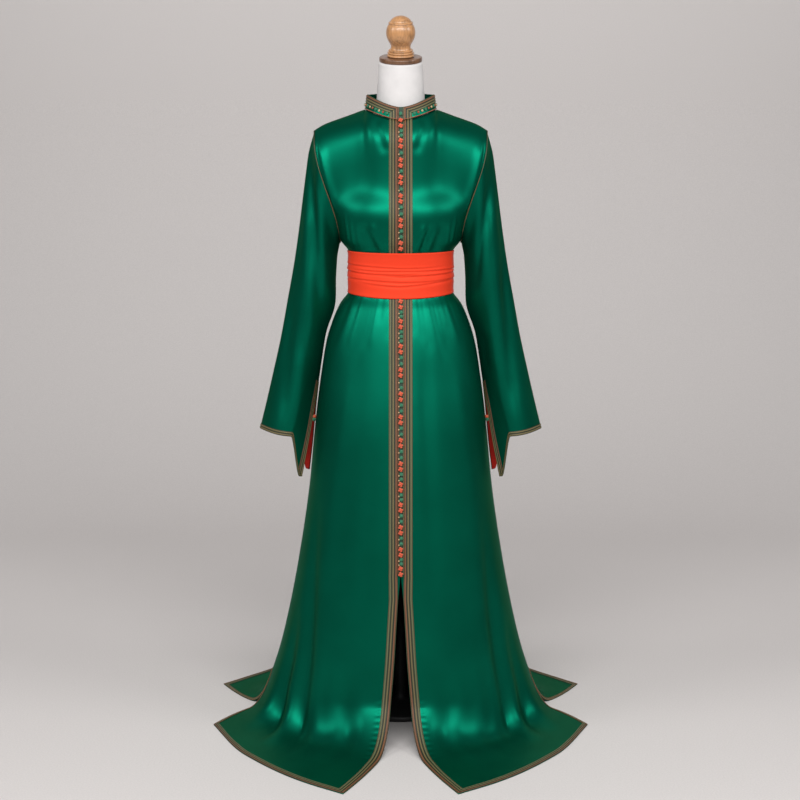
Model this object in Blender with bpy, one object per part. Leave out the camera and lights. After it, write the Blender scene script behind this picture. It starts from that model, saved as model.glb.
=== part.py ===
# Moroccan kaftan with its belt, standing on a limbless dress form.
# Metres, +Z up, the front faces -Y. Left and right are the viewer's, looking along +Y.
# Every cloth piece is a thin wall carried by a grid of middle points: rows run down the
# piece, columns run across it. Trims use the same grid points, moved out.

import math

import bmesh
import bpy
import numpy as np

for old in list(bpy.data.objects):
    bpy.data.objects.remove(old, do_unlink=True)

# ---------------------------------------------------------------- driving dimensions
CLOTH = 0.0020             # wall of the kaftan's pieces
TRIM = 0.0012              # braid and facing thickness
GAP = 0.0003               # space kept between neighbouring pieces
BRAID_IN = 0.0070          # centre line to the inner edge of the front braid
BRAID_WIDE = 0.0200        # front braid
BRAID_NARROW = 0.0090      # braid along the side slits
HEM_BRAID = 0.0180         # braid along the hem
SLEEVE_BRAID = 0.0120      # braid along the sleeve's hem
SLIT_BRAID = 0.0170        # braid along the sleeve's slit
PIPING = 0.0045            # piping in the armhole seam
SLIT_TOP = 0.380           # height at which the front opening starts
SIDE_SLIT = 0.090          # height of the side slits
UNDERARM = 1.137
BUST = 0.009               # how far the cloth stands out over the bust
FRONT_COLS = 12
HALF_BACK_COLS = 9
NECK_COL = 6               # column that meets the neck end of the shoulder seam
TILT = math.radians(14.0)  # forward slant of the neck's top

# height, half width at the side seam, depth of the front, depth of the back, dip at the centre
BODY = (
    (1.137, 0.1430, 0.1170, 0.1060, 0.000),
    (1.116, 0.1215, 0.1060, 0.0960, 0.002),
    (1.083, 0.1192, 0.1000, 0.0930, 0.003),
    (1.050, 0.1195, 0.1000, 0.0935, 0.005),
    (1.0166, 0.1212, 0.1030, 0.0965, 0.008),
    (0.998, 0.1385, 0.1130, 0.1080, 0.008),
    (0.960, 0.1570, 0.1240, 0.1220, 0.004),
    (0.902, 0.1755, 0.1370, 0.1390, 0.000),
    (0.830, 0.1875, 0.1520, 0.1580, 0.000),
    (0.758, 0.1975, 0.1670, 0.1760, 0.000),
    (0.670, 0.2070, 0.1830, 0.1990, 0.000),
    (0.563, 0.2175, 0.1990, 0.2220, 0.000),
    (0.465, 0.2310, 0.2120, 0.2460, 0.000),
    (0.380, 0.2450, 0.2220, 0.2690, 0.000),
    (0.330, 0.2540, 0.2290, 0.2840, 0.000),
    (0.265, 0.2670, 0.2390, 0.3040, 0.000),
    (0.190, 0.2840, 0.2520, 0.3300, 0.000),
    (0.135, 0.2990, 0.2620, 0.3500, 0.000),
    (0.090, 0.3140, 0.2720, 0.3700, 0.000),
)
BELT_ROWS = (1, 4)         # rows of BODY at the belt's top and bottom edge

# armhole seam: height, half width, depth either side of the shoulder seam
ARMHOLE = (
    (1.395, 0.2000, 0.000),
    (1.372, 0.1985, 0.030),
    (1.345, 0.1960, 0.045),
    (1.310, 0.1885, 0.054),
    (1.270, 0.1765, 0.056),
    (1.230, 0.1625, 0.052),
    (1.192, 0.1505, 0.042),
    (1.160, 0.1445, 0.026),
    (1.137, 0.1430, 0.000),
)

# half of the front opening: height, half gap
OPENING = (
    (0.090, 0.0225),
    (0.135, 0.0185),
    (0.190, 0.0140),
    (0.265, 0.0097),
    (0.330, 0.0058),
    (0.380, 0.0),
)

# hem on the floor, from the centre to the side corner: x, y
FRONT_HEM = (
    (0.122, -0.573),
    (0.202, -0.512),
    (0.265, -0.451),
    (0.328, -0.374),
    (0.379, -0.295),
    (0.4435, -0.145),
)
BACK_HEM = (
    (0.000, 0.573),
    (0.110, 0.548),
    (0.205, 0.470),
    (0.275, 0.380),
    (0.339, 0.285),
    (0.400, 0.215),
    (0.4520, 0.158),
)

# soft folds of the skirt: angle from the centre line and width in degrees, depth, height at
# which it ends, degrees it leans outwards per metre of height
FOLDS = {
    "front_left": (
        (24.0, 5.5, 0.009, 0.18, 0.0),
        (35.0, 5.5, 0.009, 0.18, 0.0),
        (47.0, 6.0, 0.018, 0.55, 30.0),
        (64.0, 5.5, 0.018, 0.28, 0.0),
    ),
    "front_right": (
        (20.0, 5.5, 0.009, 0.18, 0.0),
        (31.0, 5.5, 0.009, 0.18, 0.0),
        (41.0, 5.5, 0.012, 0.20, 0.0),
        (52.0, 6.0, 0.018, 0.52, 10.0),
        (66.0, 5.5, 0.012, 0.25, 0.0),
    ),
    "back": (
        (12.0, 7.0, 0.014, 0.42, 0.0),
        (33.0, 7.0, 0.018, 0.60, 0.0),
        (50.0, 7.0, 0.016, 0.45, 10.0),
        (68.0, 7.0, 0.013, 0.35, 0.0),
    ),
}

# how far the front and back have come forward from the shoulder line to their full depth:
# share of the drop to the underarm, share of the depth
CHEST = (
    (0.00, 0.00),
    (0.09, 0.50),
    (0.17, 0.68),
    (0.24, 0.72),
    (0.34, 0.73),
    (0.48, 0.745),
    (0.60, 0.80),
    (0.74, 0.99),
    (1.00, 1.00),
)

# sleeve rows: outer x, outer z, inner x at front, inner x at back, inner z, depth, opening,
# share of the drop from outer to inner edge that is straight, power of the rest
SLEEVE = (
    (0.2150, 1.345, 0.1500, 0.1500, 1.105, 0.056, 0.000, 1.00, 1.0),
    (0.2270, 1.255, 0.1535, 0.1535, 1.050, 0.055, 0.000, 1.00, 1.0),
    (0.2390, 1.165, 0.1560, 0.1560, 0.985, 0.053, 0.000, 1.00, 1.0),
    (0.2520, 1.080, 0.1765, 0.1765, 0.925, 0.051, 0.000, 1.00, 1.0),
    (0.2680, 0.995, 0.1870, 0.1870, 0.865, 0.051, 0.000, 0.90, 2.0),
    (0.2830, 0.915, 0.1960, 0.1960, 0.805, 0.053, 0.000, 0.75, 3.0),
    (0.3000, 0.840, 0.2075, 0.2045, 0.735, 0.055, 0.018, 0.55, 4.5),
    (0.3190, 0.760, 0.2205, 0.2125, 0.655, 0.058, 0.032, 0.24, 6.5),
    (0.3366, 0.690, 0.2350, 0.2215, 0.581, 0.060, 0.042, 0.12, 9.0),
)
SLEEVE_SLIT_ROW = 7        # grid row of the slit's top, counted with the armhole and piping rows

# dress form: height, half width, depth of the front, depth of the back, squareness of the ring
FORM = (
    (0.720, 0.140, 0.088, 0.095, 1.0),
    (0.760, 0.156, 0.104, 0.112, 1.0),
    (0.840, 0.164, 0.118, 0.126, 1.0),
    (0.910, 0.155, 0.114, 0.118, 1.0),
    (0.980, 0.122, 0.094, 0.092, 1.0),
    (1.050, 0.106, 0.084, 0.078, 1.0),
    (1.110, 0.110, 0.088, 0.080, 1.0),
    (1.170, 0.124, 0.102, 0.086, 1.0),
    (1.230, 0.134, 0.104, 0.086, 1.0),
    (1.300, 0.146, 0.084, 0.076, 1.0),
    (1.345, 0.160, 0.060, 0.058, 1.2),
    (1.378, 0.160, 0.050, 0.050, 1.6),
    (1.400, 0.128, 0.050, 0.050, 1.7),
    (1.418, 0.090, 0.052, 0.052, 1.5),
    (1.434, 0.064, 0.055, 0.055, 1.1),
    (1.452, 0.0575, 0.057, 0.057, 1.0),
    (1.510, 0.0535, 0.0535, 0.0535, 1.0),
    (1.5525, 0.0504, 0.0504, 0.0504, 1.0),
)

# finial turned about the slanted axis: radius, height above the neck disc's top
FINIAL = (
    (0.0310, 0.0003), (0.0325, 0.0030), (0.0310, 0.0062), (0.0290, 0.0070), (0.0300, 0.0105),
    (0.0270, 0.0140), (0.0232, 0.0190), (0.0225, 0.0240), (0.0250, 0.0290), (0.0305, 0.0380),
    (0.0335, 0.0490), (0.0336, 0.0570), (0.0310, 0.0680), (0.0262, 0.0765), (0.0205, 0.0815),
    (0.0212, 0.0835), (0.0195, 0.0870), (0.0120, 0.0920), (0.0050, 0.0938),
)

# heights of the knotted button pairs down the front
BUTTONS_UPPER = (1.407, 1.363, 1.320, 1.281, 1.238, 1.184, 1.133)
BUTTONS_LOWER = (
    0.9955, 0.952, 0.896, 0.843, 0.789, 0.737,
    0.685, 0.632, 0.585, 0.539, 0.488, 0.4375, 0.3935,
)


# ---------------------------------------------------------------- materials
def material(name, colour, rough, metal=0.0):
    m = bpy.data.materials.new(name)
    m.use_nodes = True
    b = m.node_tree.nodes["Principled BSDF"]
    b.inputs["Base Color"].default_value = (*colour, 1.0)
    b.inputs["Roughness"].default_value = rough
    b.inputs["Metallic"].default_value = metal
    m.diffuse_color = (*colour, 1.0)
    return m


GREEN = (0.002, 0.115, 0.062)
BRAID = (0.150, 0.105, 0.030)
CORAL = (0.820, 0.075, 0.025)
RED = (0.400, 0.020, 0.012)
RUST = (0.300, 0.080, 0.020)
IVORY = (0.800, 0.780, 0.760)
WOOD = (0.330, 0.170, 0.070)
DARK_WOOD = (0.120, 0.055, 0.025)


# ---------------------------------------------------------------- grids and solids
def unit(v):
    return v / np.maximum(np.linalg.norm(v, axis=-1, keepdims=True), 1e-12)


def normals(grid, side=1.0, ring=False):
    """Unit normals of a grid; side flips them, ring closes the columns."""
    down = np.gradient(grid, axis=0)
    if ring:
        across = np.roll(grid, -1, axis=1) - np.roll(grid, 1, axis=1)
    else:
        across = np.gradient(grid, axis=1)
    return side * unit(np.cross(down, across))


def finish(name, verts, faces, mat):
    mesh = bpy.data.meshes.new(name)
    mesh.from_pydata([tuple(float(c) for c in v) for v in verts], [], faces)
    bm = bmesh.new()
    bm.from_mesh(mesh)
    bmesh.ops.recalc_face_normals(bm, faces=bm.faces)
    bm.to_mesh(mesh)
    bm.free()
    obj = bpy.data.objects.new(name, mesh)
    bpy.context.scene.collection.objects.link(obj)
    obj.data.materials.append(mat)
    return obj


def shell(name, grid, norm, low, high, mat, mask=None, ring=False):
    """Closed wall between the offsets low and high of the masked cells of a grid."""
    rows, cols = grid.shape[:2]
    cells = cols if ring else cols - 1
    if mask is None:
        mask = np.ones((rows - 1, cells), bool)
    low = np.broadcast_to(np.asarray(low, float), (rows, cols))[..., None]
    high = np.broadcast_to(np.asarray(high, float), (rows, cols))[..., None]
    layers = [grid + norm * low, grid + norm * high]
    for layer in layers:
        layer[..., 2] = np.maximum(layer[..., 2], 0.0)
    index = {}
    verts = []
    faces = []

    def vert(layer, r, c):
        key = (layer, r, c % cols)
        if key not in index:
            index[key] = len(verts)
            verts.append(layers[layer][r, c % cols])
        return index[key]

    def open_cell(r, c):
        if ring:
            c = c % cells
        return 0 <= r < rows - 1 and 0 <= c < cells and mask[r, c]

    def wall(r0, c0, r1, c1):
        a = vert(0, r0, c0)
        b = vert(0, r1, c1)
        c = vert(1, r1, c1)
        d = vert(1, r0, c0)
        faces.append((a, b, c))
        faces.append((a, c, d))

    for r in range(rows - 1):
        for c in range(cells):
            if not mask[r, c]:
                continue
            for layer in (0, 1):
                quad = [vert(layer, r, c), vert(layer, r, c + 1), vert(layer, r + 1, c + 1), vert(layer, r + 1, c)]
                if layer == 0:
                    faces.append((quad[0], quad[2], quad[1]))
                    faces.append((quad[0], quad[3], quad[2]))
                else:
                    faces.append((quad[0], quad[1], quad[2]))
                    faces.append((quad[0], quad[2], quad[3]))
            if not open_cell(r - 1, c):
                wall(r, c, r, c + 1)
            if not open_cell(r + 1, c):
                wall(r + 1, c + 1, r + 1, c)
            if not open_cell(r, c - 1):
                wall(r + 1, c, r, c)
            if not open_cell(r, c + 1):
                wall(r, c + 1, r + 1, c + 1)
    return finish(name, verts, faces, mat)


def loft(name, rings, mat):
    """Closed solid through rings of equal length, capped by a point at each end."""
    rings = np.asarray(rings)
    count, n = rings.shape[:2]
    verts = [p for ring in rings for p in ring]
    verts.append(rings[0].mean(axis=0))
    verts.append(rings[-1].mean(axis=0))
    faces = []
    for k in range(count - 1):
        for i in range(n):
            j = (i + 1) % n
            a = k * n + i
            b = k * n + j
            faces.append((a, b, b + n))
            faces.append((a, b + n, a + n))
    for i in range(n):
        j = (i + 1) % n
        faces.append((j, i, count * n))
        faces.append(((count - 1) * n + i, (count - 1) * n + j, count * n + 1))
    return finish(name, verts, faces, mat)


def at_length(line, wanted):
    """Points of a polyline at the given distances along it."""
    step = np.linalg.norm(np.diff(line, axis=0), axis=1)
    run = np.concatenate(([0.0], np.cumsum(step)))
    return np.stack([np.interp(wanted, run, line[:, k]) for k in range(line.shape[1])], axis=1)


def length(line):
    return float(np.linalg.norm(np.diff(line, axis=0), axis=1).sum())


def smooth_line(points, count=80):
    """Catmull-Rom curve through a short list of points."""
    p = np.asarray(points, float)
    p = np.vstack([2 * p[0] - p[1], p, 2 * p[-1] - p[-2]])
    out = []
    for k in range(1, len(p) - 2):
        t = np.linspace(0.0, 1.0, count // (len(p) - 3), endpoint=False)[:, None]
        a = 2 * p[k]
        b = p[k + 1] - p[k - 1]
        c = 2 * p[k - 1] - 5 * p[k] + 4 * p[k + 1] - p[k + 2]
        d = -p[k - 1] + 3 * p[k] - 3 * p[k + 1] + p[k + 2]
        out.append(0.5 * (a + b * t + c * t**2 + d * t**3))
    out.append(p[-2][None, :])
    return np.vstack(out)


def mirror(grid):
    return grid * np.array([-1.0, 1.0, 1.0])


# ---------------------------------------------------------------- body of the kaftan
def spread(total, first, second, cols):
    """Column distances: the edge, both edges of a braid, even steps, the narrow side braid."""
    even = np.linspace(second, total - BRAID_NARROW, cols - 2)
    return np.concatenate(([0.0, first], even, [total]))


def fold_depth(angle, z, folds):
    """How far the cloth falls back into its folds at one angle and height."""
    total = 0.0
    for centre, width, depth, top, lean in folds:
        fade = min(max((top - z) / (top - SIDE_SLIT), 0.0), 1.0)
        off = angle - centre - lean * (z - SIDE_SLIT)
        total += depth * fade * math.exp(-((off / width) ** 2))
    return total


def section(row, front, folds):
    """Dense quarter of one level of the skirt, from the centre to the side seam."""
    z, half, depth_front, depth_back, dip = row
    depth = depth_front if front else depth_back
    sign = -1.0 if front else 1.0
    line = []
    for k in range(91):
        a = math.radians(k)
        x = half * math.sin(a) ** 0.92
        y = depth * math.cos(a) ** 0.92
        back = 1.0 - fold_depth(k, z, folds) / math.hypot(x, y)
        line.append((x * back, sign * y * back, z - dip * math.cos(a) ** 2))
    return np.array(line)


def opening(z):
    zs = [row[0] for row in OPENING]
    gaps = [row[1] for row in OPENING]
    return float(np.interp(z, zs, gaps)) + GAP / 2


def cut_at(line, x):
    """Drop the part of a line nearer the centre than x."""
    k = int(np.argmax(line[:, 0] > x))
    f = (x - line[k - 1, 0]) / (line[k, 0] - line[k - 1, 0])
    start = line[k - 1] + f * (line[k] - line[k - 1])
    return np.vstack([start, line[k:]])


def top_edge(front):
    """Neckline, then shoulder seam, as one line with its neck end marked."""
    depth = 0.078 if front else 0.070
    sign = -1.0 if front else 1.0
    neck = []
    for k in range(46):
        a = math.radians(2 * k)
        low = 1.415 if front else 1.452
        z = low + (1.441 - low) * math.sin(a) ** 1.6
        neck.append((0.0825 * math.sin(a), sign * depth * math.cos(a), z))
    seam = [(0.0825, 0.0, 1.4425), (0.121, 0.0, 1.4285), (0.174, 0.0, 1.4095), (0.200, 0.0, 1.395)]
    neck = np.array(neck)
    seam = smooth_line(seam, 30)
    return neck, seam


def top_columns(front, cols, start):
    neck, seam = top_edge(front)
    neck = cut_at(neck, start) if front else neck
    total = length(neck)
    split = NECK_COL if front else cols // 2
    if front:
        inner = [0.0, BRAID_IN] + list(np.linspace(BRAID_IN + BRAID_WIDE, total, split - 1))
    else:
        inner = list(np.linspace(0.0, total, split + 1))
    reach = length(seam)
    outer = list(np.linspace(0.0, reach - BRAID_NARROW, cols - split)[1:]) + [reach]
    return np.vstack([at_length(neck, np.array(inner)), at_length(seam, np.array(outer))])


def body_half(front, cols, folds, hem):
    """Middle grid of one half of the front or the back, on the +X side."""
    sign = -1.0 if front else 1.0
    rows = []
    first = GAP / 2 if front else 0.0
    base = section(BODY[0], front, folds)
    if front:
        base = cut_at(base, first)
        under = at_length(base, spread(length(base), BRAID_IN, BRAID_IN + BRAID_WIDE, cols))
    else:
        under = at_length(base, np.append(np.linspace(0, length(base) - BRAID_NARROW, cols), length(base)))
    top = top_columns(front, cols, first)
    step = np.linalg.norm(np.diff(under, axis=0), axis=1)
    share = np.concatenate(([0.0], np.cumsum(step))) / step.sum()
    for z, half, depth in ARMHOLE[:-1]:
        t = (ARMHOLE[0][0] - z) / (ARMHOLE[0][0] - UNDERARM)
        g = (ARMHOLE[0][1] - half) / (ARMHOLE[0][1] - ARMHOLE[-1][1])
        h = np.interp(t, [c[0] for c in CHEST], [c[1] for c in CHEST]) if front else 1.0 - (1.0 - t) ** 2.2
        row = top + (under - top) * np.array([g, h, t])
        bulge = share**2.5 * depth
        bust = BUST if front else BUST / 2
        round_off = np.exp(-(((share - 0.45) / 0.35) ** 2)) * math.exp(-(((z - 1.188) / 0.036) ** 2))
        row[:, 1] += sign * (bulge + bust * round_off)
        rows.append(row)
    rows.append(under)
    for level in BODY[1:]:
        line = section(level, front, folds)
        if front:
            edge = opening(level[0])
            line = cut_at(line, edge)
            inner = max(BRAID_IN - edge, 0.0010) if level[0] > 0.34 else 0.0010
            wanted = spread(length(line), inner, inner + BRAID_WIDE, cols)
        else:
            wanted = np.append(np.linspace(0, length(line) - BRAID_NARROW, cols), length(line))
        rows.append(at_length(line, wanted))
    knee = rows[-1]
    edge = smooth_line(hem)
    if front:
        ends = at_length(edge, spread(length(edge), 0.0010, BRAID_WIDE, cols))
    else:
        ends = at_length(edge, np.append(np.linspace(0, length(edge) - BRAID_NARROW, cols), length(edge)))
    angle = np.degrees(np.arctan2(knee[:, 0], np.abs(knee[:, 1])))
    hollow = np.array([fold_depth(a, SIDE_SLIT, folds) for a in angle]) / 0.020
    turn_x = 1.19
    turn_y = 1.45 if front else 1.12
    shift = 0.012 if front else 0.0
    control = np.stack([knee[:, 0] * turn_x + shift * (1 - share), knee[:, 1] * turn_y], axis=1)
    reach = np.linalg.norm(ends - knee[:, :2], axis=1)
    for f in (0.07, 0.15, 0.26, 0.40, 0.66, None, 1.0):
        f = 1.0 - HEM_BRAID / reach if f is None else np.full(cols + 1, f)
        g = f[:, None]
        flat = (1 - g) ** 2 * knee[:, :2] + 2 * g * (1 - g) * control + g**2 * ends
        z = CLOTH / 2 + (SIDE_SLIT - CLOTH / 2) * np.clip(1 - f / 0.46, 0, 1) ** 2.2
        ripple = np.sin(math.pi * np.clip(f / 0.8, 0, 1)) ** 2 * np.sin(math.pi * share)
        z += 0.007 * np.clip(1 - hollow, 0, 1) * ripple
        rows.append(np.column_stack([flat, z]))
    return np.array(rows)


ARM = len(ARMHOLE) - 1
KNEE = ARM + len(BODY) - 1

front_right = body_half(True, FRONT_COLS, FOLDS["front_right"], FRONT_HEM)
front_left = body_half(True, FRONT_COLS, FOLDS["front_left"], FRONT_HEM)
back_half = body_half(False, HALF_BACK_COLS, FOLDS["back"], BACK_HEM)

# the outside of every grid faces away from the form
n_right = normals(front_right)
n_left = normals(front_left)
n_back = normals(back_half, -1.0)


def sleeve_half(front, armhole):
    """Rows of one side of a sleeve, from the outer line (column 0) to the underarm line."""
    sign = -1.0 if front else 1.0
    cols = len(ARMHOLE)
    seam = np.linalg.norm(np.diff(armhole, axis=0), axis=1)
    share = np.minimum(np.concatenate(([0.0], np.cumsum(seam))) / seam.sum(), 1.0)
    rows = []
    for k, (ox, oz, inner_front, inner_back, iz, depth, gape, plain, power) in enumerate(SLEEVE):
        ix = inner_front if front else inner_back
        mix = min(k / 4.0, 1.0)
        width = math.hypot(ox - ix, oz - iz)
        even = np.append(np.linspace(0.0, 1.0 - SLIT_BRAID / (width * 1.05), cols - 1), 1.0)
        f = share * (1 - mix) + even * mix
        x = ox + (ix - ox) * f**0.95
        # at the cuff the hem runs straight, then drops steeply to the point beside the slit
        step = np.clip((f - 0.75) / 0.18, 0.0, 1.0)
        step = step * step * (3.0 - 2.0 * step)
        square = min(max((k - 5) / 3.0, 0.0), 1.0)
        drop = (1.0 - square) * f**power + square * step
        z = oz + (iz - oz) * (plain * f + (1.0 - plain) * drop)
        swell = 0.004 + 0.0006 * k
        wave = swell * np.sin(2 * math.pi * 2.0 * f + (0.6 if front else 2.1)) * np.sin(math.pi * f) * mix
        y = depth * np.maximum(np.sin(math.pi * f), 0.0) ** 0.85 + gape * f**3 + wave
        rows.append(np.column_stack([x, sign * y, z]))
    return rows


def sleeve_grid():
    """Sleeve as one sheet: front slit edge, outer line in the middle, back slit edge."""
    loop_front = front_right[: ARM + 1, -1]
    loop_back = back_half[: ARM + 1, -1]
    front = sleeve_half(True, loop_front)
    back = sleeve_half(False, loop_back)
    start = np.vstack([loop_front[::-1], loop_back[1:]])
    rows = [np.vstack([f[::-1], b[1:]]) for f, b in zip(front, back)]
    away = unit(rows[0] - start)
    first = start + away * GAP * 2.5
    # under the arm both walls face one another, so the sleeve stands clear of the body there
    for c in (0, 1, 2 * ARM - 1, 2 * ARM):
        first[c, 0] += 0.0042
    grid = [first, first + away * PIPING] + rows
    above = grid[-1] + unit(grid[-2] - grid[-1]) * SLEEVE_BRAID
    grid.insert(-1, above)
    grid = np.array(grid)
    # the two long edges stop short of one another at the underarm seam
    for edge, inward in ((0, 1), (-1, -2)):
        grid[:, edge] += unit(grid[:, inward] - grid[:, edge]) * GAP / 2
    return grid


sleeve = sleeve_grid()
n_sleeve = normals(sleeve)

# seam points share one normal, so that both walls end in parallel faces
# (not the last two under the arm, where they face one another)
arm_front = unit(n_right[: ARM - 1, -1] + n_sleeve[0, 2 : ARM + 1][::-1])
arm_back = unit(n_back[: ARM - 1, -1] + n_sleeve[0, ARM : -2])
for both in (n_right, n_left):
    both[: ARM - 1, -1] = arm_front
n_back[: ARM - 1, -1] = arm_back
n_sleeve[0, 2 : ARM + 1] = arm_front[::-1]
n_sleeve[0, ARM:-2] = arm_back
n_sleeve[0, ARM] = unit(arm_front[0] + arm_back[0])
for edge in (n_right, n_left, n_back):
    edge[0, -1] = n_sleeve[0, ARM]
n_sleeve[1, 0] = n_sleeve[1, -1] = unit(n_sleeve[1, 0] + n_sleeve[1, -1])

side = unit(n_right[ARM:, -1] + n_back[ARM:, -1])[: KNEE - ARM + 1]
for panel in (n_right, n_left, n_back):
    panel[ARM : KNEE + 1, -1] = side
level = np.array([1.0, 0.0, 1.0])
for panel, first in ((n_right, NECK_COL), (n_left, NECK_COL), (n_back, HALF_BACK_COLS // 2)):
    panel[0, first:-1] = unit(panel[0, first:-1] * level)
# the wall at the centre line ends square to it
for panel in (n_right, n_left, n_back):
    panel[:KNEE, 0] = unit(panel[:KNEE, 0] * np.array([0.0, 1.0, 1.0]))


def part_seams(grid, front):
    """Move the shoulder and side edges half a gap away from the neighbouring piece."""
    sign = -1.0 if front else 1.0
    first = NECK_COL if front else HALF_BACK_COLS // 2
    grid[0, first:, 1] += sign * GAP / 2
    grid[ARM:, -1] += unit(grid[ARM:, -2] - grid[ARM:, -1]) * GAP / 2
    return grid


front_right = part_seams(front_right, True)
front_left = part_seams(front_left, True)
back_half = part_seams(back_half, False)

front_left = mirror(front_left)
n_left = mirror(n_left)
back = np.concatenate([mirror(back_half)[:, :0:-1], back_half], axis=1)
n_back = np.concatenate([mirror(n_back)[:, :0:-1], n_back], axis=1)

HALF = CLOTH / 2
SATIN_PIECES = ("front_left", "front_right", "back", "sleeve_left", "sleeve_right", "collar")
satin = {k: material("satin_" + k, GREEN, 0.32) for k in SATIN_PIECES}
shell("front_left", front_left, n_left, -HALF, HALF, satin["front_left"])
shell("front_right", front_right, n_right, -HALF, HALF, satin["front_right"])
shell("back", back, n_back, -HALF, HALF, satin["back"])
shell("sleeve_right", sleeve, n_sleeve, -HALF, HALF, satin["sleeve_right"])
shell("sleeve_left", mirror(sleeve), mirror(n_sleeve), -HALF, HALF, satin["sleeve_left"])


# ---------------------------------------------------------------- braids, piping, facings
def shrink(grid, mask):
    """Draw the borders of the masked cells half a gap inwards, along the grid's own lines."""
    rows, cols = grid.shape[:2]
    out = grid.copy()
    full = np.zeros((rows + 1, cols + 1), bool)
    full[1:-1, 1:-1] = mask
    for r in range(rows):
        for c in range(cols):
            around = full[r : r + 2, c : c + 2]
            if around.sum() in (0, 4):
                continue
            left = around[:, 0].any()
            right = around[:, 1].any()
            up = around[0].any()
            down = around[1].any()
            if left != right:
                other = grid[r, c - 1] if left else grid[r, c + 1]
                out[r, c] += unit(other - grid[r, c]) * GAP
            if up != down:
                other = grid[r - 1, c] if up else grid[r + 1, c]
                out[r, c] += unit(other - grid[r, c]) * GAP
    return out


def trim(name, grid, norm, cells, mat, inside=False):
    mask = np.zeros((grid.shape[0] - 1, grid.shape[1] - 1), bool)
    for r0, r1, c0, c1 in cells:
        mask[r0:r1, c0:c1] = True
    low = HALF + GAP
    high = low + TRIM
    if inside:
        low, high = -high, -low
    return shell(name, shrink(grid, mask), norm, low, high, mat, mask)


def braid_material(name):
    return material("braid_" + name, BRAID, 0.55, 0.15)


last = front_right.shape[0] - 1
edge_cells = [(last - 1, last, 2, FRONT_COLS), (KNEE, last, FRONT_COLS - 1, FRONT_COLS)]
for name, grid, norm in (("left", front_left, n_left), ("right", front_right, n_right)):
    trim("placket_braid_" + name, grid, norm, [(0, last, 1, 2)], braid_material("placket_" + name))
    trim("hem_braid_" + name, grid, norm, edge_cells, braid_material("hem_" + name))
wide = back.shape[1] - 1
back_cells = [(last - 1, last, 0, wide), (KNEE, last, 0, 1), (KNEE, last, wide - 1, wide)]
trim("hem_braid_back", back, n_back, back_cells, braid_material("hem_back"))

end = sleeve.shape[0] - 1
turns = sleeve.shape[1] - 1
slit = SLEEVE_SLIT_ROW
cuff_cells = [(end - 1, end, 0, turns), (slit, end, 0, 1), (slit, end, turns - 1, turns)]
facing_cells = [(slit, end, turns - 5, turns)]
for name, grid, norm in (("right", sleeve, n_sleeve), ("left", mirror(sleeve), mirror(n_sleeve))):
    trim("sleeve_braid_" + name, grid, norm, cuff_cells, braid_material("sleeve_" + name))
    trim("armhole_piping_" + name, grid, norm, [(0, 1, 0, turns)], material("piping_" + name, RUST, 0.55))
    trim("sleeve_facing_" + name, grid, norm, facing_cells, material("facing_" + name, RED, 0.45), inside=True)


# ---------------------------------------------------------------- stand collar
def collar_rows():
    """Four levels of the collar, from one front edge round the back to the other."""
    steps = 18
    rows = []
    for up in (0.0, 0.36, 0.98, 1.0):
        line = []
        for k in range(181):
            a = math.radians(k)
            front = math.cos(a) > 0
            base = 1.415 if front else 1.452
            base += (1.441 - base) * math.sin(a) ** 1.6
            crest = 1.446 if front else 1.484
            crest += (1.477 - crest) * math.sin(a) ** 1.6
            depth_low = 0.078 if front else 0.070
            depth_high = 0.070 if front else 0.064
            rx = 0.0825 + (0.0775 - 0.0825) * up
            ry = depth_low + (depth_high - depth_low) * up
            z = base + 0.0016 + (crest - base - 0.0016) * up
            line.append((rx * math.sin(a), -ry * math.cos(a), z))
        line = cut_at(np.array(line), GAP / 2 + 0.0016 * up)
        total = length(line)
        inner = [0.0, BRAID_IN - 0.001, BRAID_IN - 0.001 + BRAID_WIDE]
        wanted = np.array(inner + list(np.linspace(inner[-1], total, steps // 2 - 1)[1:]))
        half = at_length(line, wanted)
        rows.append(np.vstack([mirror(half), half[-2::-1]]))
    return np.array(rows)


collar = collar_rows()
n_collar = normals(collar)
n_collar[..., 2] *= 0.3
n_collar = unit(n_collar)
if n_collar[0, 4, 0] > 0:
    n_collar = -n_collar
shell("collar", collar, n_collar, -0.0008, 0.0008, satin["collar"])
collar_cols = collar.shape[1] - 1
collar_mask = np.zeros((3, collar_cols), bool)
collar_mask[1:2, 1 : collar_cols - 1] = True
collar_mask[0:2, 1:2] = True
collar_mask[0:2, collar_cols - 2 : collar_cols - 1] = True
shell("collar_braid", shrink(collar, collar_mask), n_collar, 0.0008 + GAP, 0.0008 + GAP + TRIM,
      braid_material("collar"), collar_mask)


# ---------------------------------------------------------------- belt
def belt():
    """Wrapped belt: one ring carried by the body's own points, with soft folds along it."""
    a = ARM + BELT_ROWS[0]
    b = ARM + BELT_ROWS[1] + 1
    ring = np.concatenate([front_left[a:b], back[a:b, 1:], front_right[a:b, -2:0:-1]], axis=1)
    levels = (0.0, 0.30, 0.42, 0.54, 0.68, 1.0)
    out = []
    for f in levels:
        k = f * (len(ring) - 1)
        i = min(int(k), len(ring) - 2)
        out.append(ring[i] + (k - i) * (ring[i + 1] - ring[i]))
    grid = np.array(out)
    norm = normals(grid, 1.0, True)
    if norm[2, 0, 1] > 0:
        norm = -norm
    norm[..., 2] = 0.0
    norm = unit(norm)
    low = HALF + GAP + TRIM + 2 * GAP
    fold = np.array([0.0000, 0.0004, 0.0020, 0.0006, 0.0018, 0.0000])[:, None] * np.ones(grid.shape[1])
    shell("belt", grid, norm, low, low + 0.0024 + fold, material("belt_satin", CORAL, 0.38), None, True)


belt()


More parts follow.
